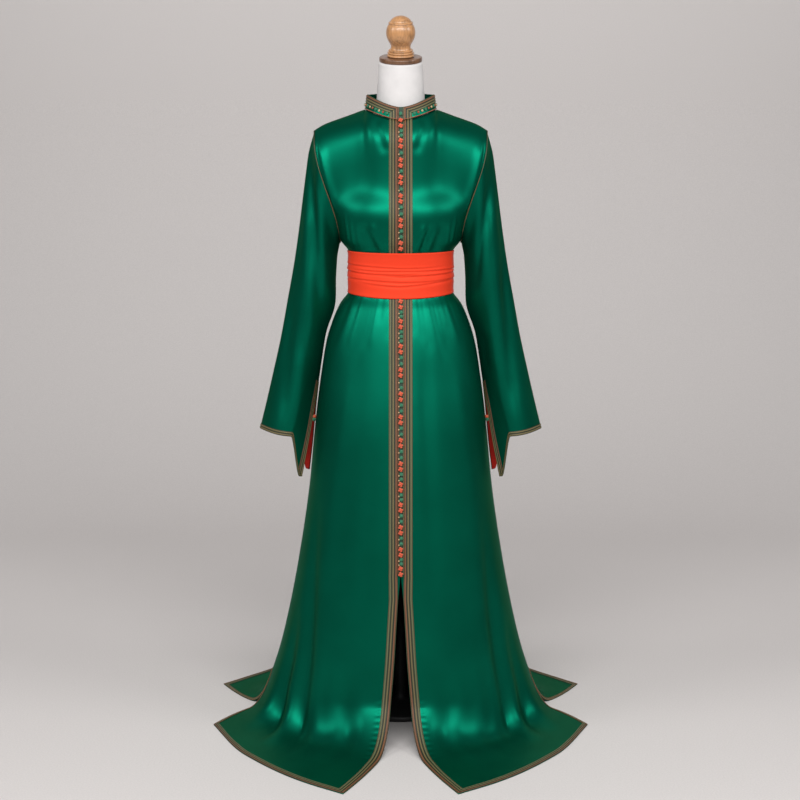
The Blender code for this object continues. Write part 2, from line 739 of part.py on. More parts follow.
# ---------------------------------------------------------------- buttons and the tape under them
centre = (front_left[:, 0] + front_right[:, 0]) / 2
n_centre = unit((n_left[:, 0] + n_right[:, 0]) * np.array([0.0, 1.0, 1.0]))


def on_centre(z):
    """Point and normal of the front's centre line at one height."""
    zs = centre[::-1, 2]
    point = np.array([np.interp(z, zs, centre[::-1, k]) for k in range(3)])
    norm = np.array([np.interp(z, zs, n_centre[::-1, k]) for k in range(3)])
    return point, unit(norm)


def tape(name, top, bottom, knots, mat):
    """Green tape along the centre, swelling into a flat knot between two buttons."""
    levels = {top, bottom}
    for z in centre[:, 2]:
        if bottom < z < top:
            levels.add(float(z))
    marks = [(a + b) / 2 for a, b in zip(knots[:-1], knots[1:])]
    for z in marks:
        levels.update((z - 0.009, z - 0.004, z + 0.004, z + 0.009))
    levels = sorted((z for z in levels if bottom <= z <= top), reverse=True)
    levels = [z for k, z in enumerate(levels) if k == 0 or levels[k - 1] - z > 0.0008 or z == bottom]
    grid = np.zeros((len(levels), 4, 3))
    norm = np.zeros_like(grid)
    high = np.zeros((len(levels), 4))
    for r, z in enumerate(levels):
        point, n = on_centre(z)
        near = min(abs(z - m) for m in marks)
        swell = 1.0 if near < 0.0045 else 0.0
        wide = 0.0062 if swell else 0.0052
        for c, x in enumerate((-wide, -wide * 0.5, wide * 0.5, wide)):
            grid[r, c] = point + np.array([x, 0.0, 0.0])
            norm[r, c] = n
            high[r, c] = 0.0022 + swell * (0.0024 if c in (1, 2) else 0.0010)
    return shell(name, grid, norm, HALF + 2 * GAP, high, mat)


cord = material("cord_green", (0.010, 0.080, 0.040), 0.50)
tape("loop_tape_upper", 1.4125, 1.1185, BUTTONS_UPPER, cord)
tape("loop_tape_lower", 1.0060, 0.3860, BUTTONS_LOWER, material("cord_green_lower", (0.010, 0.080, 0.040), 0.50))


def button(name, z, mat):
    """Pair of silk knots: two rows of two round lobes in one body."""
    tall = 0.0225
    outline = (0.62, 1.0, 0.70, 1.0, 0.62)
    crown = (
        (0.0, 0.3, 0.2, 0.3, 0.0),
        (0.3, 1.0, 0.6, 1.0, 0.3),
        (0.2, 0.5, 0.3, 0.5, 0.2),
        (0.3, 1.0, 0.6, 1.0, 0.3),
        (0.0, 0.3, 0.2, 0.3, 0.0),
    )
    grid = np.zeros((5, 5, 3))
    norm = np.zeros_like(grid)
    high = np.zeros((5, 5))
    for r in range(5):
        point, n = on_centre(z + tall * (0.5 - r / 4))
        for c in range(5):
            grid[r, c] = point + np.array([0.0080 * outline[r] * (c / 2 - 1), 0.0, 0.0])
            norm[r, c] = n
            high[r, c] = 0.0046 + 0.0036 * crown[r][c]
    return shell(name, grid, norm, 0.0032, high, mat)


for k, z in enumerate(BUTTONS_UPPER + BUTTONS_LOWER):
    label = "%02d" % (k + 1)
    button("button_" + label, z, material("silk_" + label, CORAL, 0.45))


# ---------------------------------------------------------------- dress form and stand
def ring_at(z, half, front, rear, power=1.0, slant=0.0, n=24):
    ring = []
    for k in range(n):
        a = 2 * math.pi * k / n
        c = math.cos(a)
        s = math.sin(a)
        y = math.copysign(abs(s) ** power, s) * (rear if s > 0 else front)
        ring.append((half * math.copysign(abs(c) ** power, c), y, z + y * slant))
    return ring


rings = []
for z, half, front, rear, power in FORM:
    share = min(max((z - 1.452) / (FORM[-1][0] - 1.452), 0.0), 1.0)
    rings.append(ring_at(z, half, front, rear, power, share * math.tan(TILT)))
loft("form_body", rings, material("form_cloth", IVORY, 0.85))


def turned(profile, foot, mat_name, colour, name, rough, n=24):
    """Solid of revolution about the slanted axis of the neck's top."""
    axis = np.array([0.0, -math.sin(TILT), math.cos(TILT)])
    across = np.array([1.0, 0.0, 0.0])
    ahead = np.cross(axis, across)
    rings = []
    for radius, height in profile:
        angles = [2 * math.pi * k / n for k in range(n)]
        rings.append([foot + axis * height + radius * (across * math.cos(a) + ahead * math.sin(a)) for a in angles])
    return loft(name, rings, material(mat_name, colour, rough))


seat = np.array([0.0, 0.0, FORM[-1][0] + GAP])
DISC = ((0.0470, 0.0003), (0.0497, 0.0020), (0.0497, 0.0085), (0.0475, 0.0105))
turned(DISC, seat, "disc_wood", DARK_WOOD, "neck_disc", 0.40)
lift = np.array([0.0, -math.sin(TILT), math.cos(TILT)]) * (DISC[-1][1] + GAP / 2)
turned(FINIAL, seat + lift, "finial_wood", WOOD, "finial", 0.35)

STAND = ((0.125, 0.000), (0.125, 0.010), (0.115, 0.015), (0.030, 0.020), (0.0125, 0.040), (0.0125, 0.7194))
loft("stand", [ring_at(z, r, r, r) for r, z in STAND], material("stand_paint", (0.012, 0.012, 0.012), 0.6))
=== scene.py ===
import math

import bpy
import numpy as np
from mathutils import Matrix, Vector


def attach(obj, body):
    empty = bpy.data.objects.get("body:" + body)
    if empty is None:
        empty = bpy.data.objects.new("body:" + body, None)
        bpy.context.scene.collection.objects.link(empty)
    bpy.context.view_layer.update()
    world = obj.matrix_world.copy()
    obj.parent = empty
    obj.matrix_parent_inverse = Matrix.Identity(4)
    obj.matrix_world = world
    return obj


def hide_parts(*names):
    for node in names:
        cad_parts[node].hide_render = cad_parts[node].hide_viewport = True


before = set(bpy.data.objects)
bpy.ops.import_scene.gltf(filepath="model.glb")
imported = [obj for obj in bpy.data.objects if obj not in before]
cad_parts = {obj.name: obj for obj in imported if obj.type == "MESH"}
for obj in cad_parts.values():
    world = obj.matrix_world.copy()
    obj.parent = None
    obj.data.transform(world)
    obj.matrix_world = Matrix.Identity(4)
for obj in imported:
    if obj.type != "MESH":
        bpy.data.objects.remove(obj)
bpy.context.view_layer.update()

WALL = 0.0014              # thickness of the shown cloth
GAP = 0.0003
BRAID_IN = 0.0070          # centre line to the inner edge of the front braid
BRAID_WIDE = 0.0200        # front braid
BRAID_NARROW = 0.0090      # braid along the side slits
HEM_BRAID = 0.0180         # braid along the hem
SLEEVE_BRAID = 0.0120      # braid along the sleeve's hem
SLIT_BRAID = 0.0170        # braid along the sleeve's slit
PIPING = 0.0045            # piping in the armhole seam
SLIT_TOP = 0.380           # height at which the front opening starts
SIDE_SLIT = 0.090          # height of the side slits
UNDERARM = 1.137
BUST = 0.009
TILT = math.radians(14.0)  # forward slant of the neck's top
BELT_TOP = 1.116
BELT_BOTTOM = 1.0166

# ---------------------------------------------------------------- sizes, as in the CAD
# height, half width at the side seam, depth of the front, depth of the back, dip at the centre
BODY = (
    (1.137, 0.1430, 0.1170, 0.1060, 0.000),
    (1.116, 0.1215, 0.1060, 0.0960, 0.002),
    (1.083, 0.1192, 0.1000, 0.0930, 0.003),
    (1.050, 0.1195, 0.1000, 0.0935, 0.005),
    (1.0166, 0.1212, 0.1030, 0.0965, 0.008),
    (0.998, 0.1385, 0.1130, 0.1080, 0.008),
    (0.960, 0.1570, 0.1240, 0.1220, 0.004),
    (0.902, 0.1755, 0.1370, 0.1390, 0.000),
    (0.830, 0.1875, 0.1520, 0.1580, 0.000),
    (0.758, 0.1975, 0.1670, 0.1760, 0.000),
    (0.670, 0.2070, 0.1830, 0.1990, 0.000),
    (0.563, 0.2175, 0.1990, 0.2220, 0.000),
    (0.465, 0.2310, 0.2120, 0.2460, 0.000),
    (0.380, 0.2450, 0.2220, 0.2690, 0.000),
    (0.330, 0.2540, 0.2290, 0.2840, 0.000),
    (0.265, 0.2670, 0.2390, 0.3040, 0.000),
    (0.190, 0.2840, 0.2520, 0.3300, 0.000),
    (0.135, 0.2990, 0.2620, 0.3500, 0.000),
    (0.090, 0.3140, 0.2720, 0.3700, 0.000),
)
# armhole seam: height, half width, depth either side of the shoulder seam
ARMHOLE = (
    (1.395, 0.2000, 0.000),
    (1.372, 0.1985, 0.030),
    (1.345, 0.1960, 0.045),
    (1.310, 0.1885, 0.054),
    (1.270, 0.1765, 0.056),
    (1.230, 0.1625, 0.052),
    (1.192, 0.1505, 0.042),
    (1.160, 0.1445, 0.026),
    (1.137, 0.1430, 0.000),
)
# half of the front opening: height, half gap
OPENING = (
    (0.090, 0.0225), (0.135, 0.0185), (0.190, 0.0140), (0.265, 0.0097), (0.330, 0.0058),
    (0.380, 0.0))
# hem on the floor, from the centre to the side corner: x, y
FRONT_HEM = (
    (0.122, -0.573), (0.202, -0.512), (0.265, -0.451), (0.328, -0.374), (0.379, -0.295),
    (0.4435, -0.145))
BACK_HEM = (
    (0.000, 0.573), (0.110, 0.548), (0.205, 0.470), (0.275, 0.380), (0.339, 0.285),
    (0.400, 0.215), (0.4520, 0.158))

# soft folds of the skirt: angle from the centre line and width in degrees, depth, height at
# which it ends, degrees it leans outwards per metre of height
FOLDS = {
    "front_left": (
        (24.0, 5.5, 0.009, 0.18, 0.0),
        (35.0, 5.5, 0.009, 0.18, 0.0),
        (47.0, 6.0, 0.018, 0.55, 30.0),
        (64.0, 5.5, 0.018, 0.28, 0.0),
    ),
    "front_right": (
        (20.0, 5.5, 0.009, 0.18, 0.0),
        (31.0, 5.5, 0.009, 0.18, 0.0),
        (41.0, 5.5, 0.012, 0.20, 0.0),
        (52.0, 6.0, 0.018, 0.52, 10.0),
        (66.0, 5.5, 0.012, 0.25, 0.0),
    ),
    "back": (
        (12.0, 7.0, 0.014, 0.42, 0.0),
        (33.0, 7.0, 0.018, 0.60, 0.0),
        (50.0, 7.0, 0.016, 0.45, 10.0),
        (68.0, 7.0, 0.013, 0.35, 0.0),
    ),
}
# how far the front has come forward from the shoulder line to its full depth:
# share of the drop to the underarm, share of the depth
CHEST = (
    (0.00, 0.00), (0.09, 0.50), (0.17, 0.68), (0.24, 0.72), (0.34, 0.73), (0.48, 0.745),
    (0.60, 0.80), (0.74, 0.99), (1.0, 1.0))

# sleeve rows: outer x, outer z, inner x at front, inner x at back, inner z, depth, opening,
# share of the drop from outer to inner edge that is straight, power of the rest
SLEEVE = (
    (0.2150, 1.345, 0.1500, 0.1500, 1.105, 0.056, 0.000, 1.00, 1.0),
    (0.2270, 1.255, 0.1535, 0.1535, 1.050, 0.055, 0.000, 1.00, 1.0),
    (0.2390, 1.165, 0.1560, 0.1560, 0.985, 0.053, 0.000, 1.00, 1.0),
    (0.2520, 1.080, 0.1765, 0.1765, 0.925, 0.051, 0.000, 1.00, 1.0),
    (0.2680, 0.995, 0.1870, 0.1870, 0.865, 0.051, 0.000, 0.90, 2.0),
    (0.2830, 0.915, 0.1960, 0.1960, 0.805, 0.053, 0.000, 0.75, 3.0),
    (0.3000, 0.840, 0.2075, 0.2045, 0.735, 0.055, 0.018, 0.55, 4.5),
    (0.3190, 0.760, 0.2205, 0.2125, 0.655, 0.058, 0.032, 0.24, 6.5),
    (0.3366, 0.690, 0.2350, 0.2215, 0.581, 0.060, 0.042, 0.12, 9.0),
)
SLIT_ROW = 5               # row of SLEEVE at which the sleeve's slit starts

# dress form: height, half width, depth of the front, depth of the back, squareness of the ring
FORM = (
    (0.720, 0.140, 0.088, 0.095, 1.0),
    (0.760, 0.156, 0.104, 0.112, 1.0),
    (0.840, 0.164, 0.118, 0.126, 1.0),
    (0.910, 0.155, 0.114, 0.118, 1.0),
    (0.980, 0.122, 0.094, 0.092, 1.0),
    (1.050, 0.106, 0.084, 0.078, 1.0),
    (1.110, 0.110, 0.088, 0.080, 1.0),
    (1.170, 0.124, 0.102, 0.086, 1.0),
    (1.230, 0.134, 0.104, 0.086, 1.0),
    (1.300, 0.146, 0.084, 0.076, 1.0),
    (1.345, 0.160, 0.060, 0.058, 1.2),
    (1.378, 0.160, 0.050, 0.050, 1.6),
    (1.400, 0.128, 0.050, 0.050, 1.7),
    (1.418, 0.090, 0.052, 0.052, 1.5),
    (1.434, 0.064, 0.055, 0.055, 1.1),
    (1.452, 0.0575, 0.057, 0.057, 1.0),
    (1.510, 0.0535, 0.0535, 0.0535, 1.0),
    (1.5525, 0.0504, 0.0504, 0.0504, 1.0),
)
# turned pieces about the slanted axis: radius, height
DISC = (
    (0.0470, 0.0003), (0.0490, 0.0008), (0.0497, 0.0020), (0.0499, 0.0050), (0.0497, 0.0082),
    (0.0488, 0.0098), (0.0472, 0.0105))
FINIAL = (
    (0.0285, 0.0003), (0.0312, 0.0016), (0.0320, 0.0034), (0.0312, 0.0052), (0.0294, 0.0064),
    (0.0300, 0.0076), (0.0310, 0.0092), (0.0302, 0.0110), (0.0276, 0.0120),
    (0.0280, 0.0132), (0.0288, 0.0146), (0.0276, 0.0162), (0.0246, 0.0176),
    (0.0233, 0.0205), (0.0228, 0.0240), (0.0240, 0.0285), (0.0272, 0.0340), (0.0310, 0.0410),
    (0.0333, 0.0490), (0.0338, 0.0560), (0.0328, 0.0635), (0.0304, 0.0705), (0.0270, 0.0752),
    (0.0281, 0.0764), (0.0282, 0.0782), (0.0262, 0.0798), (0.0246, 0.0806), (0.0228, 0.0838),
    (0.0178, 0.0884), (0.0108, 0.0920), (0.0040, 0.0936),
)
STAND = (
    (0.125, 0.000), (0.125, 0.009), (0.122, 0.0115), (0.115, 0.013), (0.030, 0.018),
    (0.016, 0.024), (0.0125, 0.040), (0.0125, 0.7194))

# heights of the knotted button pairs down the front, above and below the belt
BUTTONS = (
    (1.407, 1.363, 1.320, 1.281, 1.238, 1.184, 1.133),
    (0.9955, 0.952, 0.896, 0.843, 0.789, 0.737, 0.685, 0.632, 0.585, 0.539, 0.488, 0.4375, 0.3935),
)
TAPES = ((1.4125, 1.1185), (1.0060, 0.3860))

# creases seen from the front: points (x, z) along the crease, half width at both ends, height
NECK = (
    (((0.066, 1.428), (0.050, 1.385), (0.034, 1.335)), 0.0100, 0.0110, -0.0022),
    (((0.050, 1.418), (0.036, 1.390), (0.029, 1.350)), 0.0080, 0.0080, 0.0014),
    (((0.189, 1.385), (0.180, 1.310), (0.163, 1.250), (0.144, 1.195)), 0.0100, 0.0120, 0.0045),
)
UNDER_BUST = {
    "front_left": (
        (((0.072, 1.186), (0.053, 1.148), (0.034, 1.106)), 0.0100, 0.0090, 0.0040),
        (((0.094, 1.182), (0.072, 1.145), (0.054, 1.106)), 0.0110, 0.0110, -0.0040),
        (((0.129, 1.208), (0.125, 1.175), (0.119, 1.128)), 0.0034, 0.0030, 0.0012),
        (((0.116, 1.196), (0.113, 1.165), (0.108, 1.122)), 0.0032, 0.0030, 0.0010),
        (((0.102, 1.186), (0.099, 1.158), (0.094, 1.125)), 0.0032, 0.0028, 0.0008),
    ),
    "front_right": (
        (((0.058, 1.184), (0.044, 1.148), (0.031, 1.106)), 0.0080, 0.0070, 0.0038),
        (((0.072, 1.180), (0.057, 1.145), (0.044, 1.106)), 0.0070, 0.0065, -0.0036),
        (((0.086, 1.184), (0.070, 1.148), (0.056, 1.106)), 0.0080, 0.0070, 0.0032),
        (((0.104, 1.186), (0.088, 1.148), (0.074, 1.108)), 0.0100, 0.0095, -0.0030),
        (((0.128, 1.206), (0.123, 1.172), (0.116, 1.128)), 0.0034, 0.0030, 0.0012),
        (((0.113, 1.194), (0.110, 1.160), (0.105, 1.122)), 0.0032, 0.0030, 0.0009),
    ),
    "back": (
        (((0.030, 1.240), (0.038, 1.170), (0.044, 1.108)), 0.0100, 0.0090, -0.0034),
        (((0.070, 1.260), (0.074, 1.180), (0.070, 1.108)), 0.0110, 0.0090, 0.0030),
        (((0.120, 1.215), (0.116, 1.170), (0.108, 1.120)), 0.0040, 0.0040, 0.0018),
    ),
}
SKIRT = {
    "front_left": (
        (((0.100, 0.870), (0.150, 0.600), (0.190, 0.260)), 0.0180, 0.0200, 0.0030),
        (((0.060, 0.700), (0.075, 0.450), (0.085, 0.220)), 0.0200, 0.0260, -0.0022),
    ),
    "front_right": (
        (((0.048, 0.930), (0.064, 0.620), (0.078, 0.250)), 0.0150, 0.0220, -0.0034),
        (((0.120, 0.880), (0.160, 0.600), (0.200, 0.260)), 0.0180, 0.0220, 0.0028),
    ),
    "back": (
        (((0.050, 0.960), (0.070, 0.650), (0.090, 0.300)), 0.0160, 0.0240, 0.0036),
        (((0.110, 0.940), (0.150, 0.620), (0.190, 0.280)), 0.0160, 0.0240, -0.0034),
    ),
}
# creases of the sleeves, on the side that faces front in each
SLEEVE_CREASES = {
    "left": (
        (((0.2120, 1.360), (0.2050, 1.230), (0.1980, 1.105), (0.1880, 0.930)), 0.0108, 0.0162, -0.0068),
        (((0.1980, 1.300), (0.1880, 1.180), (0.1800, 1.080)), 0.0081, 0.0108, 0.0029),
        (((0.2250, 1.260), (0.2150, 1.100), (0.2150, 0.900)), 0.0162, 0.0230, 0.0044),
        (((0.2520, 1.010), (0.2660, 0.880), (0.2790, 0.700)), 0.0162, 0.0203, -0.0045),
        (((0.2280, 0.900), (0.2400, 0.780), (0.2520, 0.660)), 0.0175, 0.0230, 0.0032),
    ),
    "right": (
        (((0.2060, 1.300), (0.2000, 1.210), (0.1850, 1.120), (0.1700, 1.000)), 0.0095, 0.0135, -0.0064),
        (((0.2140, 1.290), (0.2160, 1.100), (0.2200, 0.900), (0.2300, 0.740)), 0.0175, 0.0257, 0.0048),
        (((0.2400, 1.130), (0.2500, 0.970), (0.2660, 0.710)), 0.0121, 0.0203, -0.0056),
        (((0.1960, 0.930), (0.2060, 0.820)), 0.0108, 0.0135, -0.0027),
    ),
}


# ---------------------------------------------------------------- small tools
def unit(v):
    return v / np.maximum(np.linalg.norm(v, axis=-1, keepdims=True), 1e-12)


def run_of(line):
    """Distance along a polyline at each of its points."""
    step = np.linalg.norm(np.diff(line, axis=0), axis=1)
    return np.concatenate(([0.0], np.cumsum(step)))


def at_length(line, wanted):
    run = run_of(line)
    return np.stack([np.interp(wanted, run, line[:, k]) for k in range(line.shape[1])], axis=1)


def smooth_line(points, each=16):
    """Catmull-Rom curve through a short list of points."""
    p = np.asarray(points, float)
    p = np.vstack([2 * p[0] - p[1], p, 2 * p[-1] - p[-2]])
    out = []
    for k in range(1, len(p) - 2):
        t = np.linspace(0.0, 1.0, each, endpoint=False)[:, None]
        a = 2 * p[k]
        b = p[k + 1] - p[k - 1]
        c = 2 * p[k - 1] - 5 * p[k] + 4 * p[k + 1] - p[k + 2]
        d = -p[k - 1] + 3 * p[k] - 3 * p[k + 1] + p[k + 2]
        out.append(0.5 * (a + b * t + c * t**2 + d * t**3))
    out.append(p[-2][None, :])
    return np.vstack(out)


def smooth_step(t):
    t = np.clip(t, 0.0, 1.0)
    return t * t * (3.0 - 2.0 * t)


def normals(grid, side=1.0, ring=False):
    """Unit normals of a grid; side flips them, ring closes the columns."""
    down = np.gradient(grid, axis=0)
    if ring:
        across = np.roll(grid, -1, axis=1) - np.roll(grid, 1, axis=1)
    else:
        across = np.gradient(grid, axis=1)
    return side * unit(np.cross(down, across))


def relax(grid, rounds):
    """Soften a grid along its columns, keeping its first and last rows."""
    g = grid.copy()
    for _ in range(rounds):
        g[1:-1] = 0.25 * g[:-2] + 0.5 * g[1:-1] + 0.25 * g[2:]
    return g


def mirror(grid):
    return grid * np.array([-1.0, 1.0, 1.0])


def mesh_object(name, verts, faces, uvs=None, smooth=True):
    mesh = bpy.data.meshes.new(name)
    verts = np.asarray(verts, dtype=np.float64)
    faces = [list(map(int, f)) for f in faces]
    mesh.from_pydata(verts.tolist(), [], faces)
    if uvs is not None:
        layer = mesh.uv_layers.new(name="UVMap")
        loops = np.zeros(len(mesh.loops), dtype=np.int64)
        mesh.loops.foreach_get("vertex_index", loops)
        layer.data.foreach_set("uv", np.asarray(uvs, dtype=np.float64)[loops].ravel())
    if smooth:
        mesh.polygons.foreach_set("use_smooth", np.ones(len(mesh.polygons), bool))
    mesh.update()
    obj = bpy.data.objects.new(name, mesh)
    bpy.context.scene.collection.objects.link(obj)
    return obj


def shell(name, grid, norm, low, high, ring=False, uv=None):
    """Closed wall between two offsets of a grid; uv is (across, along) in metres for each point."""
    rows, cols = grid.shape[:2]
    low = np.broadcast_to(np.asarray(low, float), (rows, cols))[..., None]
    high = np.broadcast_to(np.asarray(high, float), (rows, cols))[..., None]
    inner = grid + norm * low
    outer = grid + norm * high
    inner[..., 2] = np.maximum(inner[..., 2], 0.0002)
    outer[..., 2] = np.maximum(outer[..., 2], 0.0010)
    count = rows * cols
    verts = np.concatenate([inner.reshape(-1, 3), outer.reshape(-1, 3)])
    ids = np.arange(count).reshape(rows, cols)
    if ring:
        nxt = np.roll(ids, -1, axis=1)
        a, b, c, d = ids[:-1], nxt[:-1], nxt[1:], ids[1:]
        edges = [(ids[0], nxt[0]), (nxt[-1], ids[-1])]
    else:
        a, b, c, d = ids[:-1, :-1], ids[:-1, 1:], ids[1:, 1:], ids[1:, :-1]
        edges = [(ids[0, :-1], ids[0, 1:]), (ids[:-1, -1], ids[1:, -1])]
        edges += [(ids[-1, 1:], ids[-1, :-1]), (ids[1:, 0], ids[:-1, 0])]
    quad = np.stack([a, b, c, d], axis=-1).reshape(-1, 4)
    faces = [quad[:, ::-1], quad + count]
    for p, q in edges:
        faces.append(np.stack([p, q, q + count, p + count], axis=-1))
    faces = np.concatenate(faces)
    # the outer layer must face along the normals
    first = quad + count
    turn = np.cross(verts[first[:, 2]] - verts[first[:, 0]], verts[first[:, 3]] - verts[first[:, 1]])
    if (turn * norm.reshape(-1, 3)[quad[:, 0]]).sum() < 0:
        faces = faces[:, ::-1]
    if uv is None:
        across = np.linalg.norm(np.diff(grid, axis=1), axis=2)
        along = np.linalg.norm(np.diff(grid, axis=0), axis=2)
        across = np.concatenate([np.zeros((rows, 1)), np.cumsum(across, axis=1)], axis=1)
        along = np.concatenate([np.zeros((1, cols)), np.cumsum(along, axis=0)], axis=0)
        uv = np.stack([across, along], axis=-1)
    return mesh_object(name, verts, faces, np.concatenate([uv.reshape(-1, 2)] * 2))


def lay(grid, norm, rows, dists):
    """Points and normals on a grid at fractional rows and distances along those rows."""
    rows = np.clip(rows, 0.0, len(grid) - 1.000001)
    low = rows.astype(int)
    part = (rows - low)[..., None]
    both = np.concatenate([grid, norm], axis=2)
    found = np.zeros(rows.shape + (2, 6))
    for k in np.unique(np.concatenate([low.ravel(), low.ravel() + 1])):
        run = run_of(grid[k])
        for layer, hit in ((0, low == k), (1, low + 1 == k)):
            if hit.any():
                found[hit, layer] = np.stack(
                    [np.interp(dists[hit], run, both[k, :, c]) for c in range(6)], axis=-1)
    out = found[..., 0, :] * (1 - part) + found[..., 1, :] * part
    return out[..., :3], unit(out[..., 3:])


def strokes(x, z, table):
    """Sum of soft ridges and troughs along short curves, seen from the front."""
    total = np.zeros_like(x)
    for points, wide_0, wide_1, high in table:
        p = smooth_line(points, 6)
        run = run_of(p)
        best = np.full(x.shape, 9.0)
        share = np.zeros_like(x)
        for k in range(len(p) - 1):
            step = p[k + 1] - p[k]
            t = np.clip(((x - p[k, 0]) * step[0] + (z - p[k, 1]) * step[1]) / step.dot(step), 0, 1)
            away = np.hypot(x - p[k, 0] - t * step[0], z - p[k, 1] - t * step[1])
            near = away < best
            share = np.where(near, (run[k] + t * (run[k + 1] - run[k])) / run[-1], share)
            best = np.where(near, away, best)
        wide = wide_0 + (wide_1 - wide_0) * share
        fade = smooth_step(share / 0.25) * smooth_step((1 - share) / 0.25)
        total += high * fade * np.exp(-((best / wide) ** 2))
    return total


# ---------------------------------------------------------------- body surface
def fold_depth(angle, z, folds):
    """How far the cloth falls back into its folds at the given angles and one height."""
    total = np.zeros_like(angle)
    for centre, width, depth, top, lean in folds:
        fade = min(max((top - z) / (top - SIDE_SLIT), 0.0), 1.0)
        off = angle - centre - lean * (z - SIDE_SLIT)
        total += depth * fade * np.exp(-((off / width) ** 2))
    return total


BODY_FINE = smooth_line(BODY, 14)
CHEST_FINE = smooth_line(CHEST, 12)
ARM_FINE = smooth_line(ARMHOLE, 12)
QUARTER = np.radians(np.linspace(0.0, 90.0, 361))


def section(z, front, folds):
    """Dense quarter of one level of the skirt, from the centre to the side seam."""
    half, depth_front, depth_back, dip = (
        np.interp(z, BODY_FINE[::-1, 0], BODY_FINE[::-1, k]) for k in (1, 2, 3, 4))
    depth = depth_front if front else depth_back
    x = half * np.sin(QUARTER) ** 0.92
    y = depth * np.cos(QUARTER) ** 0.92
    back = 1.0 - fold_depth(np.degrees(QUARTER), z, folds) / np.hypot(x, y)
    return np.column_stack([x * back, (-y if front else y) * back, z - dip * np.cos(QUARTER) ** 2])


def opening(z):
    return float(np.interp(z, [r[0] for r in OPENING], [r[1] for r in OPENING])) + GAP / 2


def cut_at(line, x):
    """Drop the part of a line nearer the centre than x."""
    k = int(np.argmax(line[:, 0] > x))
    f = (x - line[k - 1, 0]) / (line[k, 0] - line[k - 1, 0])
    return np.vstack([line[k - 1] + f * (line[k] - line[k - 1]), line[k:]])


def top_edge(front):
    """Neckline, then shoulder seam."""
    depth = -0.078 if front else 0.070
    low = 1.415 if front else 1.452
    z = low + (1.441 - low) * np.sin(QUARTER) ** 1.6
    neck = np.column_stack([0.0825 * np.sin(QUARTER), depth * np.cos(QUARTER), z])
    if front:
        neck = cut_at(neck, GAP / 2)
    seam = smooth_line(
        [(0.0825, 0.0, 1.4425), (0.121, 0.0, 1.4285), (0.174, 0.0, 1.4095), (0.200, 0.0, 1.395)])
    return np.vstack([neck, seam[1:]])


UPPER_ROWS = np.linspace(0.0, 1.0, 54)[:-1]
SKIRT_ROWS = np.concatenate([np.linspace(UNDERARM, 0.985, 36), np.linspace(0.980, SIDE_SLIT, 120)])
FLOOR_ROWS = np.concatenate([np.linspace(0.0, 0.45, 46)[1:], np.linspace(0.45, 1.0, 26)[1:]])
SLIT_START = len(UPPER_ROWS) + len(SKIRT_ROWS) - 1


def body_grid(front, folds, hem, count):
    """Grid of one half of the front or the back, on the +X side."""
    sign = -1.0 if front else 1.0
    even = np.linspace(0.0, 1.0, count)
    base = section(UNDERARM, front, folds)
    if front:
        base = cut_at(base, GAP / 2)
    top = top_edge(front)
    under = at_length(base, even * run_of(base)[-1])
    upper = at_length(top, even * run_of(top)[-1])
    rows = []
    for t in UPPER_ROWS:
        z = ARMHOLE[0][0] - t * (ARMHOLE[0][0] - UNDERARM)
        half, depth = (np.interp(z, ARM_FINE[::-1, 0], ARM_FINE[::-1, k]) for k in (1, 2))
        g = (ARMHOLE[0][1] - half) / (ARMHOLE[0][1] - ARMHOLE[-1][1])
        h = np.interp(t, CHEST_FINE[:, 0], CHEST_FINE[:, 1]) if front else 1.0 - (1.0 - t) ** 2.2
        row = upper + (under - upper) * np.array([g, h, t])
        bust = BUST if front else BUST / 2
        around = np.exp(-(((even - 0.48) / 0.46) ** 4)) * math.exp(-(((z - 1.188) / 0.036) ** 2))
        row[:, 1] += sign * (even**2.5 * depth + bust * around)
        rows.append(row)
    for z in SKIRT_ROWS:
        line = section(z, front, folds)
        if front:
            line = cut_at(line, opening(z))
        rows.append(at_length(line, even * run_of(line)[-1]))
    for k in range(160):
        for r in range(1 + k // 8, len(UPPER_ROWS)):
            row = rows[r]
            row[1:-1] = 0.25 * row[:-2] + 0.5 * row[1:-1] + 0.25 * row[2:]
    knee = rows[-1]
    edge = smooth_line(hem)
    ends = at_length(edge, even * run_of(edge)[-1])
    angle = np.degrees(np.arctan2(knee[:, 0], np.abs(knee[:, 1])))
    hollow = np.clip(fold_depth(angle, SIDE_SLIT, folds) / 0.016, 0, 1)
    turn_y = 1.45 if front else 1.12
    shift = 0.012 if front else 0.0
    control = np.stack([knee[:, 0] * 1.19 + shift * (1 - even), knee[:, 1] * turn_y], axis=1)
    control = knee[:, :2] + (control - knee[:, :2]) * (1.0 - 0.25 * hollow)[:, None]
    for f in FLOOR_ROWS:
        flat = (1 - f) ** 2 * knee[:, :2] + 2 * f * (1 - f) * control + f**2 * ends
        fall = np.maximum(1 - f / 0.46, 0) ** (2.0 + 1.6 * hollow)
        lump = (0.014 * (1 - hollow) ** 1.5 * math.sin(math.pi * min(f / 0.72, 1)) ** 2
                * np.sin(math.pi * even) ** 0.6)
        rows.append(np.column_stack([flat, 0.001 + (SIDE_SLIT - 0.001) * fall + lump]))
    return np.array(rows)


def gathers(seed, count, shortest, longest):
    """Fine gathers fanning down from the belt."""
    r = np.random.default_rng(seed)
    out = []
    for k in range(count):
        x0 = 0.122 * ((k + r.uniform(0.2, 0.8)) / count) ** 0.8
        drop = r.uniform(shortest, longest)
        x1 = x0 * (1.0 + 1.25 * drop / 0.30)
        deep = r.uniform(0.0004, 0.0009) * (-1 if r.random() < 0.55 else 1)
        line = ((x0 * 0.99, 1.030), ((x0 + x1) / 2, 1.015 - drop * 0.5), (x1, 1.010 - drop))
        out.append((line, 0.0034, 0.006 + 0.03 * drop, deep))
    return tuple(out)


